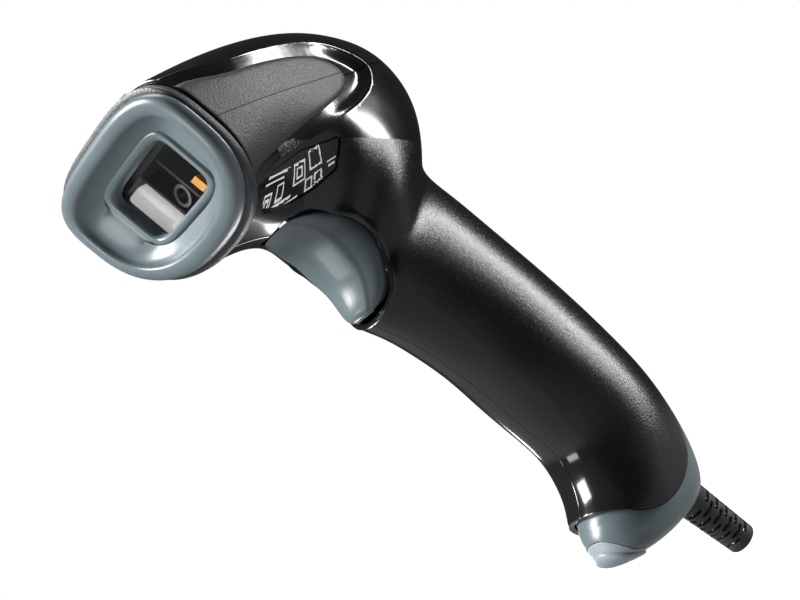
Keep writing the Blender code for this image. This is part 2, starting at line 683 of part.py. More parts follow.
def cable_block(name, half_width, half_depth, start, end, look):
    """A block in line with the cable."""
    centre = Vector(along_cable((start + end) / 2))
    size = Vector((2 * half_width, 2 * half_depth, end - start))
    shape = bmesh.new()
    bmesh.ops.create_cube(shape, size=1.0, matrix=Matrix.LocRotScale(centre, cable_turn(), size))
    return from_bmesh(name, shape, look, smooth=False)


def build_base():
    """Cap and sole that close the handle, with the pad on the sole."""
    cap = skin("base_cap", 17, len(BODY) - 1, 0.0, 2.4 * MM, "blue_grey", closed_end=True)
    sole = skin("base_sole", 17, len(BODY) - 1, 0.0, 2.0 * MM, "pale_grey", closed_end=True)
    for piece, line, shift, below in (
        (cap, CAP_LINE, -GAP / 2, False),
        (cap, SOLE_LINE, GAP / 2, True),
        (sole, SOLE_LINE, -GAP / 2, False),
    ):
        combine(piece, prism("region", line_region(line, shift, below), -0.05, 0.05), "DIFFERENCE")
    pad = skin("sole_pad", 17, len(BODY) - 1, 0.7 * MM, 0.9 * MM, "pale_grey", closed_end=True)
    turns = [2 * math.pi * i / 32 for i in range(32)]
    for piece, grow, operation in ((pad, 0.0, "INTERSECT"), (sole, GAP, "DIFFERENCE")):
        outline = [((10.0 * MM + grow) * math.cos(a), -12.0 * MM + (6.0 * MM + grow) * math.sin(a)) for a in turns]
        region = slab("oval", outline, 15.0 * MM + 2 * grow, Matrix.Translation((0.0, 0.0, -62.5 * MM)))
        if operation == "DIFFERENCE":
            layer = skin("layer", 16, len(BODY) - 1, 2.0 * MM, 1.2 * MM, closed_end=True)
            region = combine(layer, region, "INTERSECT")
        combine(piece, region, operation)
    hole = rod("hole", along_cable(-8 * MM), along_cable(30 * MM), BOOT_ROOT_RADIUS + 0.5 * MM, sides=32)
    combine(cap, hole, "DIFFERENCE", keep_other=True)
    combine(sole, hole, "DIFFERENCE")


def build_cable():
    """Slotted strain relief, the cable inside it, its plug and the socket in the handle."""
    length = float(np.linalg.norm(CABLE_END - CABLE_START))
    inner_end = -9.5 * MM
    flange = BOOT_ROOT_RADIUS + 1.0 * MM
    bore = CABLE_RADIUS + GAP
    groove = 1.0 * MM
    profile = [(inner_end, bore), (inner_end, flange), (inner_end + 1.5 * MM, flange),
               (inner_end + 1.5 * MM, BOOT_ROOT_RADIUS)]
    first, pitch = 9.0 * MM, (length - 11.0 * MM) / BOOT_SLOTS
    for i in range(BOOT_SLOTS):
        at = first + pitch * i
        radius = BOOT_ROOT_RADIUS + (BOOT_END_RADIUS - BOOT_ROOT_RADIUS) * at / length
        profile += [(at, radius), (at, radius - groove), (at + pitch * 0.4, radius - groove), (at + pitch * 0.4, radius)]
    profile += [(length, BOOT_END_RADIUS), (length, bore)]
    boot = turned("strain_relief", profile, "rubber")
    boot.location = tuple(CABLE_START)
    boot.rotation_mode = "QUATERNION"
    boot.rotation_quaternion = cable_turn()
    rod("cable", along_cable(-10.5 * MM), along_cable(length - 0.3 * MM), CABLE_RADIUS, "rubber", sides=24)
    cable_block("cable_plug", 5.8 * MM, 4.2 * MM, -22.0 * MM, -10.8 * MM, "clear")
    cable_block("cable_socket", 7.2 * MM, 5.6 * MM, -32.0 * MM, -22.4 * MM, "black_matt")
    top = along_cable(-32.4 * MM)
    path = curve_through(np.array([top, (0.0, 0.004, 0.0), (0.0, -0.004, 0.03), (0.0, -0.008, 0.07),
                                   (0.0, -0.004, 0.085), (-0.004, -0.0025, 0.098)]), 4)
    wire("harness", path, 1.1 * MM, "rubber")


def turned(name, profile, look, steps=20):
    """A closed profile of (height, radius) points turned about Z."""
    mesh = bpy.data.meshes.new(name)
    count = len(profile)
    mesh.from_pydata([(radius, 0.0, height) for height, radius in profile],
                     [(i, (i + 1) % count) for i in range(count)], [])
    obj = bpy.data.objects.new(name, mesh)
    step = obj.modifiers.new("turn", "SCREW")
    step.steps = steps
    step.render_steps = steps
    step.use_merge_vertices = True
    step.merge_threshold = 1e-6
    step.use_normal_flip = True
    return finish(obj, look)


def build_screws():
    for i, at in enumerate(np.array(SCREWS) * MM):
        screw = across("housing_screw_%d" % (i + 1), SCREW_HEAD_AT - 0.4 * MM, 8.4 * MM, at, SCREW_RADIUS)
        head = across("head", SCREW_HEAD_AT - 2.4 * MM, SCREW_HEAD_AT - 0.3 * MM, at, SCREW_HEAD_RADIUS)
        for angle in (0.0, math.pi / 2):
            y, z = 1.7 * MM * math.cos(angle), 1.7 * MM * math.sin(angle)
            slot = rod("slot", (SCREW_HEAD_AT - 2.0 * MM, at[0] - y, at[1] - z),
                       (SCREW_HEAD_AT - 2.0 * MM, at[0] + y, at[1] + z), 0.45 * MM, sides=8)
            combine(head, slot, "DIFFERENCE")
        combine(screw, head, "UNION")
        screw.data.materials.clear()
        screw.data.materials.append(material_for(screw.name, "steel"))
        set_origin(screw, (0.0, at[0], at[1]))


SCANNER = bpy.data.collections.new("barcode_scanner")


def main():
    clear_scene()
    bpy.context.scene.collection.children.link(SCANNER)
    build_bezel()
    build_collar()
    build_shells()
    build_side_panels()
    build_label()
    build_window()
    build_trigger()
    build_engine()
    build_electronics()
    build_switch()
    build_base()
    build_cable()
    build_screws()


main()
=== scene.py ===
"""Looks of the corded barcode scanner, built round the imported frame.

Nose towards -Y, handle down, +X is the scanner's left. Metres.
"""

import json
import math

import bmesh
import bpy
import numpy as np
from mathutils import Matrix, Vector


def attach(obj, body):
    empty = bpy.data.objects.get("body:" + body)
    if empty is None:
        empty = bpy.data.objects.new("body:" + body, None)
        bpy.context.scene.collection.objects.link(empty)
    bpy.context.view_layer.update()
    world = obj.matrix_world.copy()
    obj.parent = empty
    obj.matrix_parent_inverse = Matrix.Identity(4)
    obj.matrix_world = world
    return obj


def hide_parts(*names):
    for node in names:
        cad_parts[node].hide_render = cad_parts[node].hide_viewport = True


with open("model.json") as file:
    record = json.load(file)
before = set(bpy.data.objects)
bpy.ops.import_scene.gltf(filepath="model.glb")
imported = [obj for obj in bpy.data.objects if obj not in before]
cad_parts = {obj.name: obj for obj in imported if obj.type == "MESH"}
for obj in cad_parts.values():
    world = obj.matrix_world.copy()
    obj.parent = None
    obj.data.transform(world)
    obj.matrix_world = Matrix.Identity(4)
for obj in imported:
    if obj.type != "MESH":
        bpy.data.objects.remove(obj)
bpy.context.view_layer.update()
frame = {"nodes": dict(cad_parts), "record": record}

MM = 0.001
ROOT = "scanner"

# How finely surfaces are drawn
RINGS_PER_SPAN = 14
HALF_RING = 112
OUTLINE_POINTS = 192
SECTION_POINTS = 900
SNAP = 0.05 * MM

# Shells
WALL = 1.8 * MM
SEAM_HEIGHT = 108.0 * MM
SEAM_GAP = 0.34 * MM
HALF_GAP = 0.08 * MM
EDGE_ROUND = 0.25 * MM

# Nose face: a plane that leans forward at the top
NOSE_CENTRE = np.array([0.0, -85.3, 108.3]) * MM
NOSE_LEAN = math.radians(19.0)
NOSE_HALF_WIDTH = 36.8 * MM
NOSE_ABOVE = 19.0 * MM
NOSE_BELOW = 25.6 * MM
HOUSING_ABOVE = 2.4 * MM
HOUSING_BELOW = 1.6 * MM
TOP_POWER = 3.4
BOTTOM_POWER = 2.4
BEZEL_DEPTH = 3.6 * MM
COLLAR_DEPTH = 3.0 * MM

# Window aperture in the nose face
APERTURE_HALF_WIDTH = 17.6 * MM
APERTURE_HALF_HEIGHT = 9.6 * MM
APERTURE_DROP = 1.4 * MM
APERTURE_DEPTH = 6.6 * MM
APERTURE_POWER = 6.0
WINDOW_MARGIN = 2.0 * MM
WINDOW_SETBACK = 2.9 * MM
WINDOW_THICKNESS = 1.0 * MM

# Rings of the bezel's section in mm: the lip and the funnel (inset, depth, blend towards the aperture), the
# raised band (growth, depth past the aperture's) and the back (inset, depth past the bezel's, blend)
LIP_RINGS = [(0.0, 3.2, 0.0), (0.0, 2.5, 0.0), (0.25, 1.5, 0.0), (0.7, 0.8, 0.0),
             (1.5, 0.3, 0.0), (2.4, 0.05, 0.0), (3.4, 0.0, 0.0), (4.4, 0.12, 0.0), (5.0, 0.4, 0.0),
             (5.4, 0.95, 0.0), (5.6, 1.7, 0.0), (5.6, 2.6, 0.08), (5.3, 3.7, 0.26), (4.8, 4.8, 0.48),
             (4.0, 5.7, 0.7)]
BAND_RINGS = [(3.6, -0.3), (2.9, -0.3), (2.6, -0.65), (2.3, -1.15), (1.8, -1.35), (1.1, -1.35), (0.6, -1.1),
              (0.2, -0.6), (0.0, 0.3), (0.0, 2.5), (2.4, 2.5)]
BACK_RINGS = [(6.4, 3.0, 0.15), (4.2, 3.0, 0.0), (3.2, 0.0, 0.0)]

# Gap between the bezel and the collar behind it
COLLAR_GAP = 0.15 * MM

# Trigger stations: height, finger line, back line, half width
TRIGGER = np.array([
    (46.6, -45.6, -43.2, 5.0),
    (47.4, -46.9, -41.6, 7.4),
    (49.5, -47.4, -39.2, 9.8),
    (53.0, -46.9, -36.6, 12.0),
    (58.0, -46.2, -35.4, 14.0),
    (63.0, -46.9, -35.6, 15.2),
    (68.0, -47.8, -36.8, 15.6),
    (72.0, -49.0, -38.6, 15.3),
    (75.0, -50.4, -41.6, 14.6),
    (77.4, -51.8, -44.6, 13.4),
    (79.4, -53.4, -48.0, 11.6),
    (80.8, -54.8, -51.0, 9.0),
])
# Half section of the trigger: share of half width, share of depth from the finger side
TRIGGER_SECTION = [(1.0, 1.0), (1.0, 0.85), (0.97, 0.7), (0.9, 0.55), (0.8, 0.42), (0.72, 0.335),
                   (0.67, 0.275), (0.62, 0.22), (0.54, 0.17), (0.44, 0.12), (0.32, 0.07), (0.16, 0.02),
                   (0.0, 0.0)]
TRIGGER_RINGS_PER_SPAN = 8
TRIGGER_END_SHRINK = 0.88
TRIGGER_TOP_CROWN = 0.3 * MM
TRIGGER_LOW_CROWN = 0.5 * MM
TRIGGER_PIVOT = np.array([0.0, -42.5, 79.2]) * MM
PIN_ENDS = np.array([(-15.6, 1.1), (-15.2, 1.5), (15.2, 1.5), (15.6, 1.1)]) * MM
PIN_POINTS = 40
SKIRT_REACH = 6.5 * MM
SKIRT_WALL = 1.4 * MM
SKIRT_FADE = 3.0 * MM

# Screws across the housing halves (y, z)
SCREWS = np.array([(-26.0, 87.0), (10.0, 12.0), (14.0, -22.0)]) * MM
SCREW_WELL_RADIUS = 2.8 * MM

# Cable outlet
CABLE_START = np.array([0.0, 24.0, -58.0]) * MM
CABLE_END = np.array([0.0, 36.0, -85.0]) * MM
BOOT_ROOT_RADIUS = 6.4 * MM
BOOT_END_RADIUS = 5.4 * MM
BOOT_OVERLAP = 6.0 * MM
BOOT_FLANGE = 1.0 * MM
BOOT_PLAIN_START = 7.0 * MM
BOOT_PLAIN_END = 2.2 * MM
BOOT_WALL = 1.3 * MM
BOOT_POINTS = 96
BOOT_ROWS = 9
BOOT_SLOTS_ROUND = 4
BOOT_SLOT_SHARE = 0.48
BOOT_RIB_POINTS = 8

# Body stations: back point (y, z), front point (y, z), half width, place of the widest line, and the
# section's powers at the back and at the front
BODY = np.array([
    (-85.0, 129.4, -69.6, 83.4, 37.0, 0.45, 3.6, 2.3),
    (-68.0, 131.2, -60.4, 82.2, 36.4, 0.45, 3.6, 1.95),
    (-52.0, 132.0, -53.2, 80.2, 35.2, 0.44, 3.6, 1.85),
    (-36.0, 131.8, -47.6, 76.8, 33.4, 0.43, 3.5, 1.9),
    (-20.0, 130.4, -45.0, 72.0, 31.4, 0.44, 3.2, 2.05),
    (-6.0, 126.6, -44.0, 67.0, 29.6, 0.45, 3.0, 2.3),
    (6.0, 119.3, -43.5, 63.0, 28.0, 0.46, 2.9, 2.3),
    (12.6, 108.6, -43.5, 59.0, 26.2, 0.47, 2.8, 2.3),
    (13.6, 97.0, -42.8, 55.2, 23.8, 0.48, 2.6, 2.3),
    (9.6, 86.0, -43.2, 50.6, 20.6, 0.49, 2.4, 2.3),
    (5.8, 77.0, -43.9, 45.2, 18.2, 0.5, 2.3, 2.3),
    (9.8, 65.0, -38.6, 38.0, 17.7, 0.5, 2.3, 2.2),
    (15.2, 51.0, -32.2, 28.5, 17.7, 0.5, 2.3, 2.2),
    (21.4, 34.0, -25.6, 15.5, 18.0, 0.5, 2.3, 2.2),
    (27.4, 16.0, -20.6, 2.0, 18.4, 0.5, 2.3, 2.3),
    (32.2, -2.0, -15.8, -11.0, 18.7, 0.5, 2.3, 2.3),
    (35.0, -17.0, -12.4, -22.0, 18.8, 0.5, 2.3, 2.3),
    (35.6, -30.0, -13.4, -31.0, 18.7, 0.5, 2.3, 2.2),
    (34.6, -41.0, -17.0, -38.0, 18.2, 0.5, 2.4, 2.1),
    (32.8, -49.0, -21.4, -43.8, 17.6, 0.5, 2.5, 2.1),
    (29.6, -56.0, -23.2, -51.0, 16.8, 0.5, 2.5, 2.1),
    (23.5, -60.6, -20.6, -57.4, 14.6, 0.5, 2.5, 2.1),
    (14.0, -62.6, -12.0, -61.0, 9.4, 0.5, 2.5, 2.1),
])
CAP_FIRST = 17
HOUSING_LAST = 20
HEAD_LAST = 9
END_SHRINK = (0.93, 0.85, 0.72, 0.58, 0.44, 0.3, 0.15, 0.04)

# Side outlines (y, z)
PANEL = [(-84.0, 87.6), (-68.0, 93.0), (-50.0, 97.5), (-37.0, 100.0), (-26.0, 103.2), (-22.0, 107.6),
         (-25.0, 112.6), (-33.0, 116.4), (-48.0, 118.3), (-64.0, 118.6), (-85.5, 118.4)]
CHANNEL = [(-72.0, 89.2), (-60.0, 93.0), (-44.0, 94.6), (-27.0, 96.8), (-15.0, 100.6), (-9.0, 107.6),
           (-14.5, 115.0), (-24.0, 120.0), (-38.0, 121.8), (-60.0, 122.0), (-90.0, 121.8), (-88.0, 86.0)]
LABEL = [(-64.0, 91.4), (-52.0, 93.0), (-36.8, 91.8), (-41.2, 84.4), (-47.0, 83.4), (-56.0, 83.6),
         (-65.5, 84.8), (-69.0, 87.4)]
TRIGGER_OPENING = [(-54.5, 81.6), (-51.5, 80.8), (-48.4, 79.6), (-44.5, 76.8), (-41.2, 71.6), (-38.4, 66.2),
                   (-37.5, 60.5), (-37.8, 56.0), (-39.1, 50.4), (-41.2, 46.8), (-44.8, 43.4), (-52.0, 42.0),
                   (-60.0, 50.0), (-62.0, 66.0), (-57.5, 78.5)]
CAP_LINE = [(-40.0, -40.4), (-24.0, -40.6), (-19.5, -41.4), (-14.0, -46.0), (-8.5, -50.0), (-2.0, -52.2),
            (5.0, -52.4), (12.0, -50.9), (18.0, -48.2), (22.0, -45.0), (25.0, -41.0), (28.5, -37.8),
            (34.0, -36.2), (45.0, -35.6)]
SOLE_LINE = [(-45.0, -48.0), (-27.0, -48.4), (-23.6, -49.0), (-21.6, -51.6), (-19.2, -55.0), (-15.6, -58.2),
             (-8.0, -60.0), (8.0, -60.2), (24.0, -60.2), (45.0, -60.2)]

# Pad on the sole, an oval that leans from the front edge to the underside (y, z)
PAD_FRONT = np.array([-23.2, -53.4]) * MM
PAD_REAR = np.array([-7.0, -61.5]) * MM
PAD_HALF_WIDTH = 7.6 * MM
PAD_HEIGHT = 0.9 * MM
PAD_ROLL = 1.0 * MM
PAD_REACH = 8.0 * MM

# How far the base steps in below the front of the handle: not at all at the low height, by the full depth
# one rise above it, and less and less towards the back place, over the run
STEP_DEPTH = 2.6 * MM
STEP_LOW = -59.0 * MM
STEP_RISE = 14.0 * MM
STEP_BACK = 4.0 * MM
STEP_RUN = 16.0 * MM

# The cap's edge, which tucks up behind the housing in front of this place
CAP_GAP = 0.15 * MM
CAP_TUCK = 1.4 * MM
CAP_TUCK_BACK = -11.5 * MM
CAP_TUCK_RUN = 2.0 * MM
SOLE_GAP = 0.12 * MM

# Plain marks on the label, in mm from its middle: bars (from y, to y, from z, to z), boxes (y, z, half size)
LABEL_BARS = [(-12.0, -2.0, 3.0, 3.4), (-12.5, -4.5, 1.9, 2.3), (-7.5, 1.5, -3.2, -2.8),
              (-7.5, -1.0, -2.3, -1.9), (10.8, 13.4, -0.6, -0.2), (10.8, 12.8, -1.6, -1.2)]
LABEL_BOXES = [(1.4, 1.2, 1.9), (1.4, 1.2, 0.9), (7.0, 2.3, 1.9), (-10.6, -1.2, 1.5), (-10.6, -1.2, 0.7),
               (-5.6, -0.2, 1.2), (4.6, -2.2, 1.0), (7.6, -2.0, 1.0)]
LABEL_LINE = 0.2
LABEL_SLANT = 0.04

# Edge of the glossy head (y, z) and back edge of the glossy front strip (y, z)
HEAD_EDGE = (-10.0, 82.0)
HEAD_EDGE_SLOPE = 0.32
FRONT_STRIP = np.array([(-24.0, -60.0), (-12.0, -42.0), (-9.0, -25.0), (-13.0, -5.0), (-20.0, 15.0),
                        (-27.0, 32.0), (-34.0, 44.0), (-31.0, 56.0), (-32.0, 70.0), (-36.0, 80.0),
                        (-60.0, 90.0)])

# Channel round the inlay, with a small step at its rim
CHANNEL_DEPTH = 1.9 * MM
CHANNEL_WIDTH = 5.0 * MM
CHANNEL_SHAPE = 0.8
RIM_DEPTH = 0.25 * MM
RIM_WIDTH = 0.6 * MM

# Side inlay
PANEL_WALL = 0.9 * MM
PANEL_PROUD = 0.15 * MM
PANEL_ROLL_DEPTH = 1.0 * MM
PANEL_ROLL_WIDTH = 2.4 * MM
PANEL_GAP = 0.14 * MM

# Label recess and the plate in it
LABEL_DEPTH = 0.9 * MM
LABEL_RAMP = 0.35 * MM
PLATE_MARGIN = 0.45 * MM
PLATE_SINK = 0.45 * MM
PLATE_THICKNESS = 0.35 * MM

# Raised bead along the trigger opening, which fades out near the top
LIP_HEIGHT = 0.45 * MM
LIP_WIDTH = 1.7 * MM
LIP_TOP = 77.0 * MM
LIP_FADE = 8.0 * MM

# How brightly the white lamp bar behind the window and the label's marks glow: painted light in place of the
# light that falls on them, which the lamps here don't bring there
LAMP_BAR_PAINTED_LIGHT = 0.42
INK_PAINTED_LIGHT = 0.32

# Stage
FLOOR_LEVEL = -0.125
FLOOR_RADIUS = 0.75
FLOOR_COLOUR = (0.2, 0.2, 0.2)
FLOOR_GLOW = 0.06
STUDIO_DARK = 0.035

# Camera, as the object is seen: place, right, up and backward directions, focal length
CAMERA_PLACE = (0.267, -0.276, 0.030)
CAMERA_RIGHT = (0.5372, 0.6141, -0.5782)
CAMERA_UP = (0.4181, 0.4014, 0.8149)
CAMERA_BACK = (0.7325, -0.6795, -0.0412)
CAMERA_LENS = 54.0

# Lamps: name, place, what they face, width, height, power
TARGET = (0.0, -0.02, 0.05)
LAMPS = [
    ("rear_strip", (0.55, 0.76, 0.22), TARGET, 0.1, 0.75, 8.0),
    ("front_softbox", (-0.36, -0.66, 0.50), TARGET, 0.36, 0.36, 16.0),
    ("top_softbox", (0.05, 0.05, 0.80), TARGET, 0.45, 0.45, 4.0),
    ("low_front", (-0.25, -0.75, -0.10), TARGET, 0.35, 0.12, 1.2),
    ("low_rear", (-0.17, 0.07, -0.11), (-0.01, -0.05, 0.09), 0.16, 0.1, 0.5),
]


# ---------------------------------------------------------------- curves and outlines

def curve_through(points, per_span, closed=False):
    """Catmull-Rom points through the given rows."""
    rows = np.array(points, float)
    count = len(rows)
    spans = count if closed else count - 1
    found = []
    for i in range(spans):
        if closed:
            a, b, c, d = (rows[(i + k) % count] for k in (-1, 0, 1, 2))
        else:
            a, b, c, d = (rows[min(max(i + k, 0), count - 1)] for k in (-1, 0, 1, 2))
        for t in np.arange(per_span) / per_span:
            found.append(0.5 * (2 * b + (c - a) * t + (2 * a - 5 * b + 4 * c - d) * t**2
                                + (3 * b - a - 3 * c + d) * t**3))
    if not closed:
        found.append(rows[-1])
    return np.array(found)


def spline_through(rows, per_span):
    """A natural cubic spline through the rows, which keeps reflections free of kinks."""
    rows = np.array(rows, float)
    count = len(rows)
    matrix = np.eye(count)
    right = np.zeros_like(rows)
    for i in range(1, count - 1):
        matrix[i, i - 1:i + 2] = (1.0, 4.0, 1.0)
        right[i] = 6.0 * (rows[i - 1] - 2.0 * rows[i] + rows[i + 1])
    bend = np.linalg.solve(matrix, right)
    found = []
    for i in range(count - 1):
        for t in np.arange(per_span) / per_span:
            s = 1.0 - t
            bow = (s**3 - s) * bend[i] + (t**3 - t) * bend[i + 1]
            found.append(s * rows[i] + t * rows[i + 1] + bow / 6.0)
    found.append(rows[-1])
    return np.array(found)


def smooth_step(value):
    t = np.clip(value, 0.0, 1.0)
    return t * t * (3.0 - 2.0 * t)


def signed_power(value, power):
    return math.copysign(abs(value) ** power, value)


def outline_distance(points, outline):
    """Distance of each side position (y, z) from a closed outline, positive inside."""
    start = np.asarray(outline)
    end = np.roll(start, -1, axis=0)
    step = end - start
    away = points[:, None, :] - start[None, :, :]
    share = np.clip((away * step).sum(2) / (step**2).sum(1), 0.0, 1.0)
    nearest = np.linalg.norm(away - share[:, :, None] * step, axis=2).min(1)
    above = (start[:, 1] > points[:, 1:2]) != (end[:, 1] > points[:, 1:2])
    drop = np.where(step[:, 1] == 0.0, 1.0, step[:, 1])
    meets = start[:, 0] + (points[:, 1:2] - start[:, 1]) * step[:, 0] / drop
    inside = (above & (points[:, 0:1] < meets)).sum(1) % 2 == 1
    return np.where(inside, nearest, -nearest)


def smooth_outline(points):
    return curve_through(np.array(points) * MM, 5, closed=True)


PANEL_OUTLINE = smooth_outline(PANEL)
CHANNEL_OUTLINE = smooth_outline(CHANNEL)
OPENING_OUTLINE = smooth_outline(TRIGGER_OPENING)
LABEL_OUTLINE = np.array(LABEL) * MM
CAP_CURVE = curve_through(np.array(CAP_LINE) * MM, 6)
SOLE_CURVE = curve_through(np.array(SOLE_LINE) * MM, 6)


def inside(outline, grow=0.0):
    """A field that is positive inside the outline grown by a distance."""
    return lambda points: outline_distance(points[:, 1:3], outline) + grow


def outside(outline, grow=0.0):
    return lambda points: -outline_distance(points[:, 1:3], outline) - grow


def above_line(curve, shift=0.0):
    return lambda points: points[:, 2] - np.interp(points[:, 1], curve[:, 0], curve[:, 1]) - shift


def below_line(curve, shift=0.0):
    return lambda points: np.interp(points[:, 1], curve[:, 0], curve[:, 1]) + shift - points[:, 2]


def above_height(height):
    return lambda points: points[:, 2] - height


def below_height(height):
    return lambda points: height - points[:, 2]


def left_of_centre(distance):
    return lambda points: points[:, 0] - distance


def cable_direction():
    return (CABLE_END - CABLE_START) / np.linalg.norm(CABLE_END - CABLE_START)


def off_cable(radius):
    """A field that is positive outside a cylinder round the cable's axis."""
    def field(points):
        away = points[:, :3] - CABLE_START
        along = away @ cable_direction()
        return np.linalg.norm(away - along[:, None] * cable_direction(), axis=1) - radius
    return field


def off_well(at):
    return lambda points: np.hypot(points[:, 1] - at[0], points[:, 2] - at[1]) - SCREW_WELL_RADIUS


# ---------------------------------------------------------------- sheets

class Sheet:
    """An open surface: rows of position and normal, and faces."""

    def __init__(self, rows, faces):
        self.rows = rows
        self.faces = faces

    def cut(self, field, keep_both=False):
        """Adds an edge line where the field is zero and drops its negative side, unless both sides stay."""
        value = field(self.rows)
        value[np.abs(value) < SNAP] = 0.0
        sign = np.sign(value).astype(int).tolist()
        crossings, made, faces = {}, [], []

        def crossing(a, b):
            key = (min(a, b), max(a, b))
            if key not in crossings:
                share = value[key[0]] / (value[key[0]] - value[key[1]])
                crossings[key] = len(self.rows) + len(made)
                made.append(self.rows[key[0]] * (1.0 - share) + self.rows[key[1]] * share)
            return crossings[key]

        for face in self.faces:
            signs = [sign[i] for i in face]
            if min(signs) >= 0:
                faces.append(face)
                continue
            if max(signs) <= 0:
                if keep_both:
                    faces.append(face)
                continue
            upper, lower = [], []
            for k, a in enumerate(face):
                b = face[(k + 1) % len(face)]
                if sign[a] >= 0:
                    upper.append(a)
                if sign[a] <= 0:
                    lower.append(a)
                if sign[a] * sign[b] < 0:
                    upper.append(crossing(a, b))
                    lower.append(crossing(a, b))
            if len(upper) > 2:
                faces.append(tuple(upper))
            if keep_both and len(lower) > 2:
                faces.append(tuple(lower))
        rows = np.vstack([self.rows, np.array(made)]) if made else self.rows
        return Sheet(rows, faces).compact()

    def compact(self):
        used = sorted({i for face in self.faces for i in face})
        place = {old: new for new, old in enumerate(used)}
        return Sheet(self.rows[used], [tuple(place[i] for i in face) for face in self.faces])

    def lines(self, field, offsets):
        """Edge lines at each offset of a field, so that a shape change there is crisp."""
        sheet = self
        for offset in offsets:
            sheet = sheet.cut(lambda points, shift=offset: field(points) - shift, keep_both=True)
        return sheet

    def moved(self, height):
        """The sheet moved along its normals by a height for each row."""
        rows = self.rows.copy()
        rows[:, :3] += rows[:, 3:6] * height(self.rows)[:, None]
        return Sheet(rows, self.faces)

    def mirrored(self):
        rows = self.rows * np.array([-1.0, 1.0, 1.0, -1.0, 1.0, 1.0])
        return Sheet(rows, [tuple(reversed(face)) for face in self.faces])

    def joined(self, other):
        shift = len(self.rows)
        faces = self.faces + [tuple(i + shift for i in face) for face in other.faces]
        return Sheet(np.vstack([self.rows, other.rows]), faces)


def half_ring(row):
    """Evenly spaced points round the left half of a body section, back to front."""
    back, front = row[0:2] * MM, row[2:4] * MM
    half_width, widest, back_power, front_power = row[4] * MM, row[5], row[6], row[7]
    centre = back + (front - back) * widest
    dense = np.linspace(0.0, math.pi, SECTION_POINTS)
    towards_back = np.cos(dense) > 0
    power = 2.0 / np.where(towards_back, back_power, front_power)
    reach = np.where(towards_back[:, None], back - centre, front - centre)
    along = np.abs(np.cos(dense)) ** power
    across = half_width * np.abs(np.sin(dense)) ** power
    across[[0, -1]] = 0.0
    points = np.column_stack([across, centre + reach * along[:, None]])
    length = np.concatenate([[0.0], np.cumsum(np.linalg.norm(np.diff(points, axis=0), axis=1))])
    even = np.linspace(0.0, length[-1], HALF_RING)
    return np.column_stack([np.interp(even, length, points[:, k]) for k in range(3)])


def body_sheet(first, last, closed_end=False):
    """The left half of the body's outer surface between two stations."""
    rows = spline_through(BODY, RINGS_PER_SPAN)[first * RINGS_PER_SPAN:last * RINGS_PER_SPAN + 1]
    grid = np.array([half_ring(row) for row in rows])
    if closed_end:
        end = grid[-1]
        centre = np.array([0.0, *end[:, 1:].mean(0)])
        shrunk = [centre + (end - centre) * share for share in END_SHRINK]
        grid = np.concatenate([grid, shrunk])
    along = np.gradient(grid, axis=0)
    around = np.gradient(grid, axis=1)
    normal = np.cross(along, around)
    normal /= np.linalg.norm(normal, axis=2, keepdims=True) + 1e-12
    middle = grid[:, [0, -1]].mean(1)[:, None, :]
    outward = np.sign((normal * (grid - middle)).sum(2).mean())
    normal *= outward
    normal[:, [0, -1], 0] = 0.0
    if closed_end:
        normal[-len(END_SHRINK):] = np.array([0.0, 0.05, -1.0])
    normal /= np.linalg.norm(normal, axis=2, keepdims=True) + 1e-12
    count = grid.shape[1]
    faces = []
    for i in range(len(grid) - 1):
        for j in range(count - 1):
            a = i * count + j
            face = (a, a + 1, a + count + 1, a + count)
            faces.append(tuple(reversed(face)) if outward > 0 else face)
    return Sheet(np.concatenate([grid, normal], axis=2).reshape(-1, 6), faces)


# ---------------------------------------------------------------- objects

def place(obj, body=ROOT, replaces=(), slot=None):
    """Puts a piece on its body and hides the frame nodes that it stands for."""
    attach(obj, body)
    if replaces:
        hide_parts(*replaces)
    return obj


def object_from(name, points, faces, material):
    mesh = bpy.data.meshes.new(name)
    mesh.from_pydata([tuple(point) for point in points], [], faces)
    mesh.materials.append(material)
    obj = bpy.data.objects.new(name, mesh)
    bpy.context.scene.collection.objects.link(obj)
    return obj


def weld(obj, distance, outwards=False):
    shape = bmesh.new()
    shape.from_mesh(obj.data)
    bmesh.ops.remove_doubles(shape, verts=shape.verts, dist=distance)
    bmesh.ops.dissolve_degenerate(shape, edges=shape.edges, dist=distance * 0.2)
    if outwards:
        bmesh.ops.recalc_face_normals(shape, faces=shape.faces)
    shape.to_mesh(obj.data)
    shape.free()
    return obj


def bake(obj):
    """Replaces the object's mesh with the result of its modifiers."""
    bpy.context.view_layer.update()
    graph = bpy.context.evaluated_depsgraph_get()
    mesh = bpy.data.meshes.new_from_object(obj.evaluated_get(graph))
    obj.modifiers.clear()
    obj.data = mesh
    return obj


def smooth(obj, angle=45.0):
    obj.data.shade_smooth()
    obj.data.set_sharp_from_angle(angle=math.radians(angle))
    return obj


def rounded(obj, width=EDGE_ROUND, segments=2, angle=50.0):
    step = obj.modifiers.new("edges", "BEVEL")
    step.width = width
    step.segments = segments
    step.limit_method = "ANGLE"
    step.angle_limit = math.radians(angle)
    return smooth(bake(obj))


def shell_from(name, sheet, wall, material, edge=EDGE_ROUND):
    """A wall of even thickness under a sheet, with rounded edges."""
    obj = object_from(name, sheet.rows[:, :3], sheet.faces, material)
    weld(obj, 0.08 * MM)
    step = obj.modifiers.new("wall", "SOLIDIFY")
    step.thickness = wall
    step.offset = -1.0
    bake(obj)
    return rounded(obj, edge)


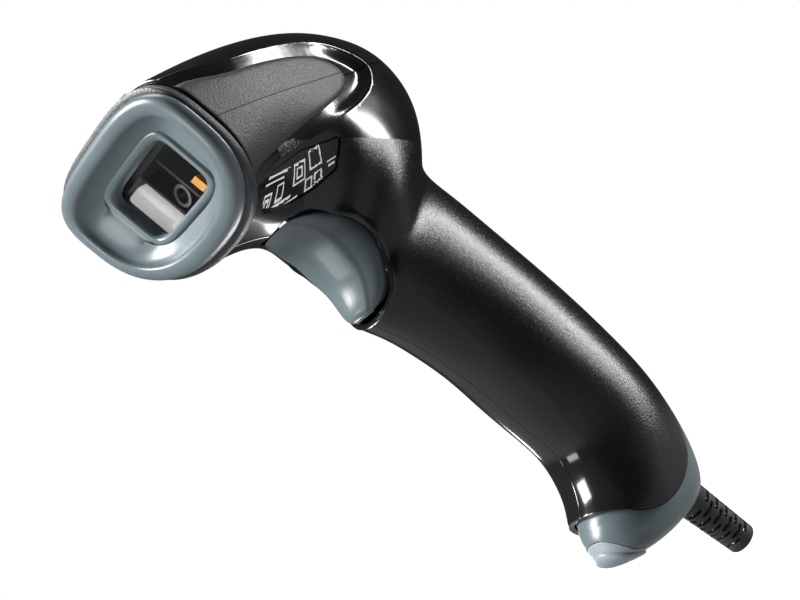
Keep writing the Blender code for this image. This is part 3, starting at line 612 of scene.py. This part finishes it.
def ring_solid(name, rings, material, closed_section=True):
    """A solid whose section runs through rings of equal length and returns to the first."""
    count = len(rings[0])
    points = [point for ring in rings for point in ring]
    faces = []
    spans = len(rings) if closed_section else len(rings) - 1
    for i in range(spans):
        for j in range(count):
            k = (j + 1) % count
            here = i * count
            beyond = ((i + 1) % len(rings)) * count
            faces.append((here + j, here + k, beyond + k, beyond + j))
    if not closed_section:
        faces.append(tuple(reversed(range(count))))
        faces.append(tuple(range((len(rings) - 1) * count, len(rings) * count)))
    obj = object_from(name, points, faces, material)
    weld(obj, 0.002 * MM, outwards=True)
    return obj


def nose_point(x, down, depth):
    """A point of the nose: x across, down the face, depth straight back."""
    return NOSE_CENTRE + np.array([x, down * math.sin(NOSE_LEAN) + depth, -down * math.cos(NOSE_LEAN)])


def nose_outline(inset, depth, blend=0.0, proud=0.0):
    """The face outline moved inwards, blended towards the aperture, or grown to the housing's."""
    ring = []
    for i in range(OUTLINE_POINTS):
        angle = 2 * math.pi * (i + 0.5) / OUTLINE_POINTS
        top = math.sin(angle) < 0
        power = 2.0 / (TOP_POWER if top else BOTTOM_POWER)
        height = (NOSE_ABOVE if top else NOSE_BELOW) - inset
        height += proud * (HOUSING_ABOVE if top else HOUSING_BELOW)
        outer = np.array([(NOSE_HALF_WIDTH - inset) * signed_power(math.cos(angle), power),
                          height * signed_power(math.sin(angle), power)])
        inner_power = 2.0 / APERTURE_POWER
        inner = np.array([APERTURE_HALF_WIDTH * signed_power(math.cos(angle), inner_power),
                          APERTURE_DROP + APERTURE_HALF_HEIGHT * signed_power(math.sin(angle), inner_power)])
        x, down = outer * (1 - blend) + inner * blend
        ring.append(nose_point(x, down, depth))
    return np.array(ring)


def aperture_outline(grow, depth):
    power = 2.0 / APERTURE_POWER
    ring = []
    for i in range(OUTLINE_POINTS):
        angle = 2 * math.pi * (i + 0.5) / OUTLINE_POINTS
        x = (APERTURE_HALF_WIDTH + grow) * signed_power(math.cos(angle), power)
        down = APERTURE_DROP + (APERTURE_HALF_HEIGHT + grow) * signed_power(math.sin(angle), power)
        ring.append(nose_point(x, down, depth))
    return np.array(ring)


# ---------------------------------------------------------------- materials

def link(tree, source, target):
    tree.links.new(source, target)


def plastic(name, colour, roughness, grain=0.0, grain_size=0.4 * MM, mottle=0.08, spread=0.05, coat=0.0,
            metallic=0.0):
    """A moulded surface: colour that drifts a little, uneven gloss, and a grain in the surface."""
    made = bpy.data.materials.new(name)
    made.use_nodes = True
    tree = made.node_tree
    shader = tree.nodes["Principled BSDF"]
    shader.inputs["Coat Weight"].default_value = coat
    shader.inputs["Coat Roughness"].default_value = 0.08
    shader.inputs["Metallic"].default_value = metallic
    where = tree.nodes.new("ShaderNodeTexCoord")

    drift = tree.nodes.new("ShaderNodeTexNoise")
    drift.inputs["Scale"].default_value = 45.0
    drift.inputs["Detail"].default_value = 3.0
    link(tree, where.outputs["Object"], drift.inputs["Vector"])
    tone = tree.nodes.new("ShaderNodeValToRGB")
    dark = [c * (1.0 - mottle) for c in colour]
    light = [min(1.0, c * (1.0 + mottle)) for c in colour]
    tone.color_ramp.elements[0].position = 0.3
    tone.color_ramp.elements[0].color = (*dark, 1.0)
    tone.color_ramp.elements[1].position = 0.7
    tone.color_ramp.elements[1].color = (*light, 1.0)
    link(tree, drift.outputs["Fac"], tone.inputs["Fac"])
    link(tree, tone.outputs["Color"], shader.inputs["Base Color"])

    grains = tree.nodes.new("ShaderNodeTexNoise")
    grains.inputs["Scale"].default_value = 1.0 / grain_size
    grains.inputs["Detail"].default_value = 2.0
    grains.inputs["Roughness"].default_value = 0.6
    link(tree, where.outputs["Object"], grains.inputs["Vector"])
    gloss = tree.nodes.new("ShaderNodeMapRange")
    gloss.inputs["From Min"].default_value = 0.25
    gloss.inputs["From Max"].default_value = 0.75
    gloss.inputs["To Min"].default_value = max(0.02, roughness - spread)
    gloss.inputs["To Max"].default_value = min(1.0, roughness + spread)
    link(tree, (grains if grain else drift).outputs["Fac"], gloss.inputs["Value"])
    link(tree, gloss.outputs["Result"], shader.inputs["Roughness"])
    bump = tree.nodes.new("ShaderNodeBump")
    bump.inputs["Strength"].default_value = 1.0
    bump.inputs["Distance"].default_value = grain if grain else 0.002 * MM
    link(tree, grains.outputs["Fac"], bump.inputs["Height"])
    link(tree, bump.outputs["Normal"], shader.inputs["Normal"])
    return made


def clear(name, colour, roughness=0.03):
    """Clear moulded plastic or glass with a faint haze, which casts no shadow."""
    made = plastic(name, colour, roughness, spread=0.02)
    shader = made.node_tree.nodes["Principled BSDF"]
    shader.inputs["Transmission Weight"].default_value = 1.0
    shader.inputs["IOR"].default_value = 1.45
    tree = made.node_tree
    path = tree.nodes.new("ShaderNodeLightPath")
    pass_through = tree.nodes.new("ShaderNodeBsdfTransparent")
    mix = tree.nodes.new("ShaderNodeMixShader")
    link(tree, path.outputs["Is Shadow Ray"], mix.inputs[0])
    link(tree, shader.outputs[0], mix.inputs[1])
    link(tree, pass_through.outputs[0], mix.inputs[2])
    link(tree, mix.outputs[0], tree.nodes["Material Output"].inputs["Surface"])
    return made


def make_materials():
    made = {
        "gloss_black": plastic("gloss_black", (0.011, 0.011, 0.012), 0.13, spread=0.03),
        "grain_black": plastic("grain_black", (0.007, 0.007, 0.008), 0.23, grain=0.06 * MM,
                               grain_size=0.55 * MM, spread=0.08),
        "soft_grey": plastic("soft_grey", (0.038, 0.042, 0.045), 0.42, grain=0.13 * MM,
                             grain_size=0.55 * MM, mottle=0.15, spread=0.1),
        "blue_grey": plastic("blue_grey", (0.125, 0.16, 0.173), 0.3, grain=0.006 * MM, grain_size=0.3 * MM),
        "pale_grey": plastic("pale_grey", (0.27, 0.31, 0.34), 0.38, grain=0.01 * MM, grain_size=0.35 * MM),
        "label_black": plastic("label_black", (0.014, 0.014, 0.015), 0.22, spread=0.04),
        "label_ink": plastic("label_ink", (0.6, 0.6, 0.6), 0.4),
        "window_clear": clear("window_clear", (0.93, 0.95, 0.95)),
        "white_lens": plastic("white_lens", (0.88, 0.88, 0.87), 0.22, coat=0.4),
        "inner_black": plastic("inner_black", (0.012, 0.012, 0.013), 0.45, grain=0.01 * MM),
        "pale_nylon": plastic("pale_nylon", (0.66, 0.66, 0.62), 0.45, grain=0.006 * MM),
        "black_rubber": plastic("black_rubber", (0.03, 0.03, 0.031), 0.6, grain=0.03 * MM,
                                grain_size=0.3 * MM, spread=0.1),
        "steel": plastic("steel", (0.6, 0.6, 0.61), 0.28, grain=0.004 * MM, metallic=1.0),
        "board_green": plastic("board_green", (0.02, 0.16, 0.06), 0.35, grain=0.006 * MM, mottle=0.2),
        "amber": plastic("amber", (0.42, 0.2, 0.03), 0.35, mottle=0.15),
    }
    # Painted light: the white lamp bar and the label's marks glow so that they look lit
    for name, strength in (("white_lens", LAMP_BAR_PAINTED_LIGHT), ("label_ink", INK_PAINTED_LIGHT)):
        shader = made[name].node_tree.nodes["Principled BSDF"]
        shader.inputs["Emission Color"].default_value = (1.0, 1.0, 1.0, 1.0)
        shader.inputs["Emission Strength"].default_value = strength
    return made


MATERIALS = make_materials()


def paint_frame_nodes():
    """Every frame node gets the material of its slot."""
    for part in frame["record"]["subparts"]:
        node = frame["nodes"][part["node"]]
        node.data.materials.clear()
        node.data.materials.append(MATERIALS[part["material_slot"]])
        smooth(node, 35.0)


# ---------------------------------------------------------------- head and handle

def channel_height(points):
    """How the side channel dips below the body's surface, deepest at the inlay."""
    inner = outline_distance(points[:, 1:3], CHANNEL_OUTLINE)
    dip = CHANNEL_DEPTH * smooth_step(inner / CHANNEL_WIDTH) ** CHANNEL_SHAPE
    return -dip - RIM_DEPTH * smooth_step(inner / RIM_WIDTH)


def label_height(points):
    inner = outline_distance(points[:, 1:3], LABEL_OUTLINE)
    return -LABEL_DEPTH * smooth_step(inner / LABEL_RAMP)


def lip_height(points):
    """A raised bead along the handle side of the trigger opening."""
    away = -outline_distance(points[:, 1:3], OPENING_OUTLINE)
    bead = np.sin(math.pi * np.clip(away / LIP_WIDTH, 0.0, 1.0)) ** 2
    low = smooth_step((LIP_TOP - points[:, 2]) / LIP_FADE)
    return LIP_HEIGHT * bead * low


def shell_height(with_label):
    def height(points):
        total = channel_height(points) + lip_height(points)
        if with_label:
            total = np.where(outline_distance(points[:, 1:3], LABEL_OUTLINE) > 0.0,
                             np.minimum(total, label_height(points)), total)
        return total
    return height


def head_and_handle(with_label):
    """The left half of the whole body surface, with its side features."""
    sheet = body_sheet(0, HOUSING_LAST)
    sheet = sheet.cut(outside(OPENING_OUTLINE))
    sheet = sheet.lines(outside(OPENING_OUTLINE), np.array((0.4, 0.85, 1.3, 1.75)) * MM)
    sheet = sheet.lines(inside(CHANNEL_OUTLINE), np.array((0.0, 0.3, 0.6, 1.2, 2.0, 3.0, 4.0)) * MM)
    if with_label:
        sheet = sheet.lines(inside(LABEL_OUTLINE), np.array((0.0, 0.17, 0.35)) * MM)
    sheet = sheet.lines(handle_side, [0.0])
    sheet = sheet.cut(above_line(CAP_CURVE, CAP_GAP))
    return sheet.moved(shell_height(with_label))


def build_shells():
    left = head_and_handle(with_label=True)
    right = head_and_handle(with_label=False)
    cover = left.cut(above_height(SEAM_HEIGHT + SEAM_GAP / 2))
    cover = cover.joined(cover.mirrored())
    made = shell_from("head_cover_shell", cover, WALL, MATERIALS["gloss_black"])
    place(made, replaces=["head_cover"], slot="gloss_black")

    left = left.cut(below_height(SEAM_HEIGHT - SEAM_GAP / 2)).cut(left_of_centre(HALF_GAP))
    right = right.cut(below_height(SEAM_HEIGHT - SEAM_GAP / 2)).cut(left_of_centre(HALF_GAP))
    for at in SCREWS:
        right = right.cut(off_well(at))
    for name, sheet, node in (("left_housing_shell", left, "left_housing"),
                              ("right_housing_shell", right.mirrored(), "right_housing")):
        obj = shell_from(name, sheet, WALL, MATERIALS["gloss_black"])
        grain_handle(obj)
        place(obj, replaces=[node], slot="gloss_black")


def handle_side(points):
    """Positive on the fine-grained handle, behind and below the glossy head and front strip."""
    y, z = points[:, 1] / MM, points[:, 2] / MM
    below_head = HEAD_EDGE[1] - z - HEAD_EDGE_SLOPE * (y - HEAD_EDGE[0])
    behind_front = y - np.interp(z, FRONT_STRIP[:, 1], FRONT_STRIP[:, 0])
    return np.minimum(below_head, behind_front) * MM


def grain_handle(obj):
    """The handle below the head has the fine grain; the head and the front strip stay glossy."""
    obj.data.materials.append(MATERIALS["grain_black"])
    centres = np.array([face.center for face in obj.data.polygons])
    for face, side in zip(obj.data.polygons, handle_side(centres)):
        face.material_index = 1 if side > 0.0 else 0


def panel_height(points):
    """The inlay stands at the body's surface and rolls down at its edge."""
    inner = outline_distance(points[:, 1:3], PANEL_OUTLINE)
    share = np.clip(inner, 0.0, PANEL_ROLL_WIDTH) / PANEL_ROLL_WIDTH
    return PANEL_PROUD - PANEL_ROLL_DEPTH * (1.0 - np.sqrt(1.0 - (1.0 - share) ** 2))


def build_panels():
    sheet = body_sheet(0, HEAD_LAST).cut(inside(PANEL_OUTLINE))
    sheet = sheet.lines(inside(PANEL_OUTLINE), np.array((0.12, 0.35, 0.7, 1.2, 1.8)) * MM)
    sheet = sheet.moved(panel_height)
    for end, field in (("upper", above_height(SEAM_HEIGHT + PANEL_GAP / 2)),
                       ("lower", below_height(SEAM_HEIGHT - PANEL_GAP / 2))):
        half = sheet.cut(field)
        for side, piece in (("left", half), ("right", half.mirrored())):
            name = f"{side}_panel_{end}"
            obj = shell_from(name + "_inlay", piece, PANEL_WALL, MATERIALS["soft_grey"], 0.06 * MM)
            place(obj, replaces=[name], slot="soft_grey")


def label_frame(points):
    """Places on the label from its middle, in millimetres, with the rows of marks a little slanted."""
    middle = LABEL_OUTLINE.mean(0)
    along = (points[:, 1] - middle[0]) / MM
    return along, (points[:, 2] - middle[1]) / MM - LABEL_SLANT * along


def label_ink(points):
    """Positive on the label's plain marks: ruled lines and blank boxes."""
    y, z = label_frame(points)
    marks = np.full(len(points), -1.0)
    for low_y, high_y, low_z, high_z in LABEL_BARS:
        bar = np.minimum(np.minimum(y - low_y, high_y - y), np.minimum(z - low_z, high_z - z))
        marks = np.maximum(marks, bar)
    for at_y, at_z, half_size in LABEL_BOXES:
        away = np.maximum(np.abs(y - at_y), np.abs(z - at_z))
        marks = np.maximum(marks, LABEL_LINE - np.abs(away - half_size))
    return marks * MM


def with_mark_edges(sheet):
    """Edge lines along the sides of every mark."""
    along = {side for bar in LABEL_BARS for side in bar[:2]}
    upwards = {side for bar in LABEL_BARS for side in bar[2:]}
    for at_y, at_z, half_size in LABEL_BOXES:
        for reach in (half_size - LABEL_LINE, half_size + LABEL_LINE):
            along.update((at_y - reach, at_y + reach))
            upwards.update((at_z - reach, at_z + reach))
    for axis, sides in enumerate((along, upwards)):
        offsets = [side * MM for side in sorted(sides)]
        sheet = sheet.lines(lambda points, k=axis: label_frame(points)[k] * MM, offsets)
    return sheet


def build_label():
    """The rating label in its recess, with plain ruled lines and blank boxes in place of print."""
    sheet = with_mark_edges(body_sheet(0, HEAD_LAST).cut(inside(LABEL_OUTLINE, -PLATE_MARGIN)))
    plate = sheet.moved(lambda points: np.full(len(points), -PLATE_SINK))
    obj = shell_from("label_plate", plate, PLATE_THICKNESS, MATERIALS["label_black"], 0.05 * MM)
    obj.data.materials.append(MATERIALS["label_ink"])
    centres = np.array([face.center for face in obj.data.polygons])
    for face, mark in zip(obj.data.polygons, label_ink(centres)):
        if mark > 0.0 and face.normal.x > 0.3:
            face.material_index = 1
    place(obj, replaces=["rating_label"], slot="label_black")


# ---------------------------------------------------------------- nose

def build_bezel():
    """Rounded lip with a fine ridge, a shallow funnel and a raised band round the aperture."""
    rings = [nose_outline(inset * MM, BEZEL_DEPTH) for inset in (1.2, 0.1)]
    rings += [nose_outline(inset * MM, depth * MM, blend) for inset, depth, blend in LIP_RINGS]
    rings += [aperture_outline(grow * MM, APERTURE_DEPTH + past * MM) for grow, past in BAND_RINGS]
    rings += [nose_outline(inset * MM, BEZEL_DEPTH + past * MM, blend) for inset, past, blend in BACK_RINGS]
    obj = smooth(ring_solid("bezel_frame", rings, MATERIALS["blue_grey"]), 55.0)
    place(obj, replaces=["bezel"], slot="blue_grey")


def build_collar():
    """Grained ring that carries the side inlays' surface round the nose."""
    start = BEZEL_DEPTH + COLLAR_GAP
    end = BEZEL_DEPTH + COLLAR_DEPTH
    section = [(2.8, 0.0, start), (0.9, 0.5, start), (0.35, 0.85, start + 0.15 * MM),
               (0.1, 1.0, start + 0.5 * MM), (0.0, 1.0, start + 1.0 * MM), (0.0, 1.0, end - 0.3 * MM),
               (0.12, 1.0, end), (2.8, 0.0, end)]
    rings = [nose_outline(inset * MM, depth, proud=proud) for inset, proud, depth in section]
    obj = smooth(ring_solid("collar_ring", rings, MATERIALS["soft_grey"]), 50.0)
    place(obj, replaces=["nose_collar"], slot="soft_grey")


def build_window():
    front = aperture_outline(WINDOW_MARGIN, APERTURE_DEPTH + WINDOW_SETBACK)
    back = aperture_outline(WINDOW_MARGIN, APERTURE_DEPTH + WINDOW_SETBACK + WINDOW_THICKNESS)
    pane = ring_solid("window_pane", [front, back], MATERIALS["window_clear"], closed_section=False)
    obj = smooth(pane, 30.0)
    place(obj, replaces=["scan_window"], slot="window_clear")


# ---------------------------------------------------------------- trigger

def build_trigger():
    """Curved trigger: scooped finger side, softly ridged flanks, and skirts that reach into the handle."""
    stations = spline_through(TRIGGER * MM, TRIGGER_RINGS_PER_SPAN)
    half = curve_through(TRIGGER_SECTION, 4)
    front = np.vstack([half, half[-2::-1] * np.array([-1.0, 1.0])])
    rings = []
    for height, finger, back, half_width in stations:
        ring = [(share * half_width, finger + (back - finger) * depth, height) for share, depth in front]
        reach = SKIRT_REACH * smooth_step((height - TRIGGER[0, 0] * MM) / SKIRT_FADE)
        inner = max(half_width - SKIRT_WALL, 0.5 * half_width)
        skirt = [(-half_width, reach), (-inner, reach), (-inner, 0.0), (inner, 0.0), (inner, reach),
                 (half_width, reach)]
        ring += [(across, back + far, height) for across, far in skirt]
        rings.append(ring)
    top, low = np.array(rings[-1]), np.array(rings[0])
    for ring, step, at in ((top, TRIGGER_TOP_CROWN, len(rings)), (low, -TRIGGER_LOW_CROWN, 0)):
        middle = ring.mean(0)
        closing = middle + (ring - middle) * TRIGGER_END_SHRINK
        closing[:, 2] = ring[0, 2] + step
        rings.insert(at, closing)
    obj = ring_solid("trigger_lever", rings, MATERIALS["blue_grey"], closed_section=False)
    rounded(obj, 0.3 * MM, 3, 55.0)
    place(obj, "trigger", replaces=["trigger"], slot="blue_grey")


def build_pin():
    """The trigger's pin, which ends inside the walls of the housing halves."""
    turns = [2 * math.pi * i / PIN_POINTS for i in range(PIN_POINTS)]
    rings = [[TRIGGER_PIVOT + (across, radius * math.cos(a), radius * math.sin(a)) for a in turns]
             for across, radius in PIN_ENDS]
    obj = smooth(ring_solid("pin_rod", rings, MATERIALS["steel"], closed_section=False), 40.0)
    place(obj, replaces=["trigger_pin"], slot="steel")


# ---------------------------------------------------------------- base

def base_sheet():
    half = body_sheet(CAP_FIRST, len(BODY) - 1, closed_end=True)
    return half.joined(half.mirrored()).cut(off_cable(BOOT_ROOT_RADIUS + 0.4 * MM))


def step_height(points):
    """The base steps in at the front, most of all just below the handle."""
    share = np.clip((points[:, 2] - STEP_LOW) / STEP_RISE, 0.0, 1.0)
    return -STEP_DEPTH * share * smooth_step((STEP_BACK - points[:, 1]) / STEP_RUN)


def cap_edge(points):
    """Positive on the cap, which ends at its line, or a little above it where it steps in at the front."""
    tuck = CAP_TUCK * smooth_step((CAP_TUCK_BACK - points[:, 1]) / CAP_TUCK_RUN)
    return below_line(CAP_CURVE, -CAP_GAP)(points) + tuck


def build_base():
    sheet = base_sheet()
    cap = sheet.cut(cap_edge).cut(above_line(SOLE_CURVE, SOLE_GAP)).moved(step_height)
    obj = shell_from("cap_shell", cap, 1.6 * MM, MATERIALS["blue_grey"], 0.3 * MM)
    place(obj, replaces=["base_cap"], slot="blue_grey")
    sole = sheet.cut(below_line(SOLE_CURVE, -SOLE_GAP)).moved(step_height)
    obj = shell_from("sole_shell", sole, 1.4 * MM, MATERIALS["pale_grey"], 0.3 * MM)
    place(obj, replaces=["base_sole"], slot="pale_grey")
    pad = base_sheet().cut(pad_field)
    pad = pad.lines(pad_field, np.array((0.3, 0.6, 1.0)) * MM).moved(pad_height)
    obj = shell_from("pad_cover", pad, 1.0 * MM, MATERIALS["pale_grey"], 0.1 * MM)
    place(obj, replaces=["sole_pad"], slot="pale_grey")


def pad_field(points):
    """Positive within the oval pad that runs from the front of the sole to its underside."""
    span = PAD_REAR - PAD_FRONT
    along = (points[:, 1:3] - PAD_FRONT) @ span / (span @ span)
    reach = np.hypot(points[:, 0] / PAD_HALF_WIDTH, 2.0 * along - 1.0)
    off_span = np.abs((points[:, 1] - PAD_FRONT[0]) * span[1] - (points[:, 2] - PAD_FRONT[1]) * span[0])
    near = PAD_REACH - off_span / np.linalg.norm(span)
    return np.minimum((1.0 - reach) * PAD_HALF_WIDTH, near)


def pad_height(points):
    inner = np.clip(pad_field(points) / PAD_ROLL, 0.0, 1.0)
    return PAD_HEIGHT * np.sqrt(1.0 - (1.0 - inner) ** 2) + step_height(points)


# ---------------------------------------------------------------- cable

def cable_frame():
    turn = Vector(cable_direction()).to_track_quat("Z", "Y").to_matrix()
    return Matrix.Translation(CABLE_START) @ turn.to_4x4()


def build_boot():
    """Strain relief: a tapered sleeve with staggered slots round a plain core."""
    length = float(np.linalg.norm(CABLE_END - CABLE_START))
    around = BOOT_POINTS
    pitch = (length - BOOT_PLAIN_END - BOOT_PLAIN_START) / BOOT_ROWS
    heights = [-BOOT_OVERLAP, BOOT_FLANGE]
    for i in range(BOOT_ROWS):
        at = BOOT_PLAIN_START + i * pitch
        heights += [at, at + pitch * BOOT_SLOT_SHARE]
    heights.append(length)
    points, faces = [], []
    for height in heights:
        radius = BOOT_ROOT_RADIUS + (BOOT_END_RADIUS - BOOT_ROOT_RADIUS) * height / length
        for j in range(around):
            angle = 2 * math.pi * j / around
            points.append((radius * math.cos(angle), radius * math.sin(angle), height))
    slot_width = around // BOOT_SLOTS_ROUND
    for i in range(len(heights) - 1):
        in_slot_row = i >= 2 and i % 2 == 0 and i < len(heights) - 2
        for j in range(around):
            shift = (slot_width // 2) * ((i // 2) % 2)
            if in_slot_row and (j + shift) % slot_width < slot_width - BOOT_RIB_POINTS:
                continue
            k = (j + 1) % around
            faces.append((i * around + j, i * around + k, (i + 1) * around + k, (i + 1) * around + j))
    obj = object_from("boot_sleeve", points, faces, MATERIALS["black_rubber"])
    step = obj.modifiers.new("wall", "SOLIDIFY")
    step.thickness = BOOT_WALL
    step.offset = -1.0
    bake(obj)
    rounded(obj, 0.22 * MM, 2, 50.0)
    obj.matrix_world = cable_frame()
    place(obj, replaces=["strain_relief"], slot="black_rubber")


# ---------------------------------------------------------------- stage, light, camera

def fading_floor():
    """A pale floor that fades out away from the scanner, so that no horizon line is left."""
    made = plastic("floor_look", FLOOR_COLOUR, 0.8, mottle=0.01)
    tree = made.node_tree
    shader = tree.nodes["Principled BSDF"]
    shader.inputs["Emission Color"].default_value = (1.0, 1.0, 1.0, 1.0)
    glow = tree.nodes.new("ShaderNodeMapRange")
    glow.inputs["To Min"].default_value = FLOOR_GLOW
    glow.inputs["To Max"].default_value = 1.0
    path = tree.nodes.new("ShaderNodeLightPath")
    link(tree, path.outputs["Is Camera Ray"], glow.inputs["Value"])
    link(tree, glow.outputs["Result"], shader.inputs["Emission Strength"])
    where = tree.nodes.new("ShaderNodeTexCoord")
    length = tree.nodes.new("ShaderNodeVectorMath")
    length.operation = "LENGTH"
    link(tree, where.outputs["Object"], length.inputs[0])
    fade = tree.nodes.new("ShaderNodeMapRange")
    fade.interpolation_type = "SMOOTHSTEP"
    fade.inputs["From Min"].default_value = 0.35 * FLOOR_RADIUS
    fade.inputs["From Max"].default_value = 0.95 * FLOOR_RADIUS
    fade.inputs["To Min"].default_value = 1.0
    fade.inputs["To Max"].default_value = 0.0
    link(tree, length.outputs["Value"], fade.inputs["Value"])
    link(tree, fade.outputs["Result"], shader.inputs["Alpha"])
    return made


def build_stage():
    """A pale round floor under the scanner."""
    turns = [2 * math.pi * i / 64 for i in range(64)]
    points = [(FLOOR_RADIUS * math.cos(a), FLOOR_RADIUS * math.sin(a), FLOOR_LEVEL) for a in turns]
    floor = object_from("floor", points, [tuple(range(64))], fading_floor())


def area_light(name, place_at, look_at, width, height, power):
    light = bpy.data.lights.new(name, "AREA")
    light.shape = "RECTANGLE"
    light.size = width
    light.size_y = height
    light.energy = power
    obj = bpy.data.objects.new(name, light)
    obj.location = place_at
    obj.rotation_mode = "QUATERNION"
    obj.rotation_quaternion = (Vector(look_at) - Vector(place_at)).to_track_quat("-Z", "Y")
    bpy.context.scene.collection.objects.link(obj)


def build_world():
    """Dim surroundings for the light, shown white to the camera."""
    world = bpy.data.worlds.new("studio")
    bpy.context.scene.world = world
    world.use_nodes = True
    tree = world.node_tree
    back = tree.nodes["Background"]
    back.inputs["Color"].default_value = (0.9, 0.9, 0.9, 1.0)
    back.inputs["Strength"].default_value = STUDIO_DARK
    seen = tree.nodes.new("ShaderNodeBackground")
    seen.inputs["Color"].default_value = (1.0, 1.0, 1.0, 1.0)
    seen.inputs["Strength"].default_value = 1.0
    path = tree.nodes.new("ShaderNodeLightPath")
    mix = tree.nodes.new("ShaderNodeMixShader")
    link(tree, path.outputs["Is Camera Ray"], mix.inputs[0])
    link(tree, back.outputs[0], mix.inputs[1])
    link(tree, seen.outputs[0], mix.inputs[2])
    link(tree, mix.outputs[0], tree.nodes["World Output"].inputs["Surface"])


def build_lights():
    for lamp in LAMPS:
        area_light(*lamp)


def build_camera():
    data = bpy.data.cameras.new("camera")
    data.lens = CAMERA_LENS
    data.clip_start = 0.01
    obj = bpy.data.objects.new("camera", data)
    columns = (CAMERA_RIGHT, CAMERA_UP, CAMERA_BACK)
    turn = Matrix([[columns[c][r] for c in range(3)] for r in range(3)])
    obj.matrix_world = Matrix.Translation(CAMERA_PLACE) @ turn.to_4x4()
    bpy.context.scene.collection.objects.link(obj)
    bpy.context.scene.camera = obj
    bpy.context.scene.view_settings.view_transform = "Standard"


paint_frame_nodes()
build_shells()
build_panels()
build_label()
build_bezel()
build_collar()
build_window()
build_trigger()
build_pin()
build_base()
build_boot()
build_stage()
build_world()
build_lights()
build_camera()
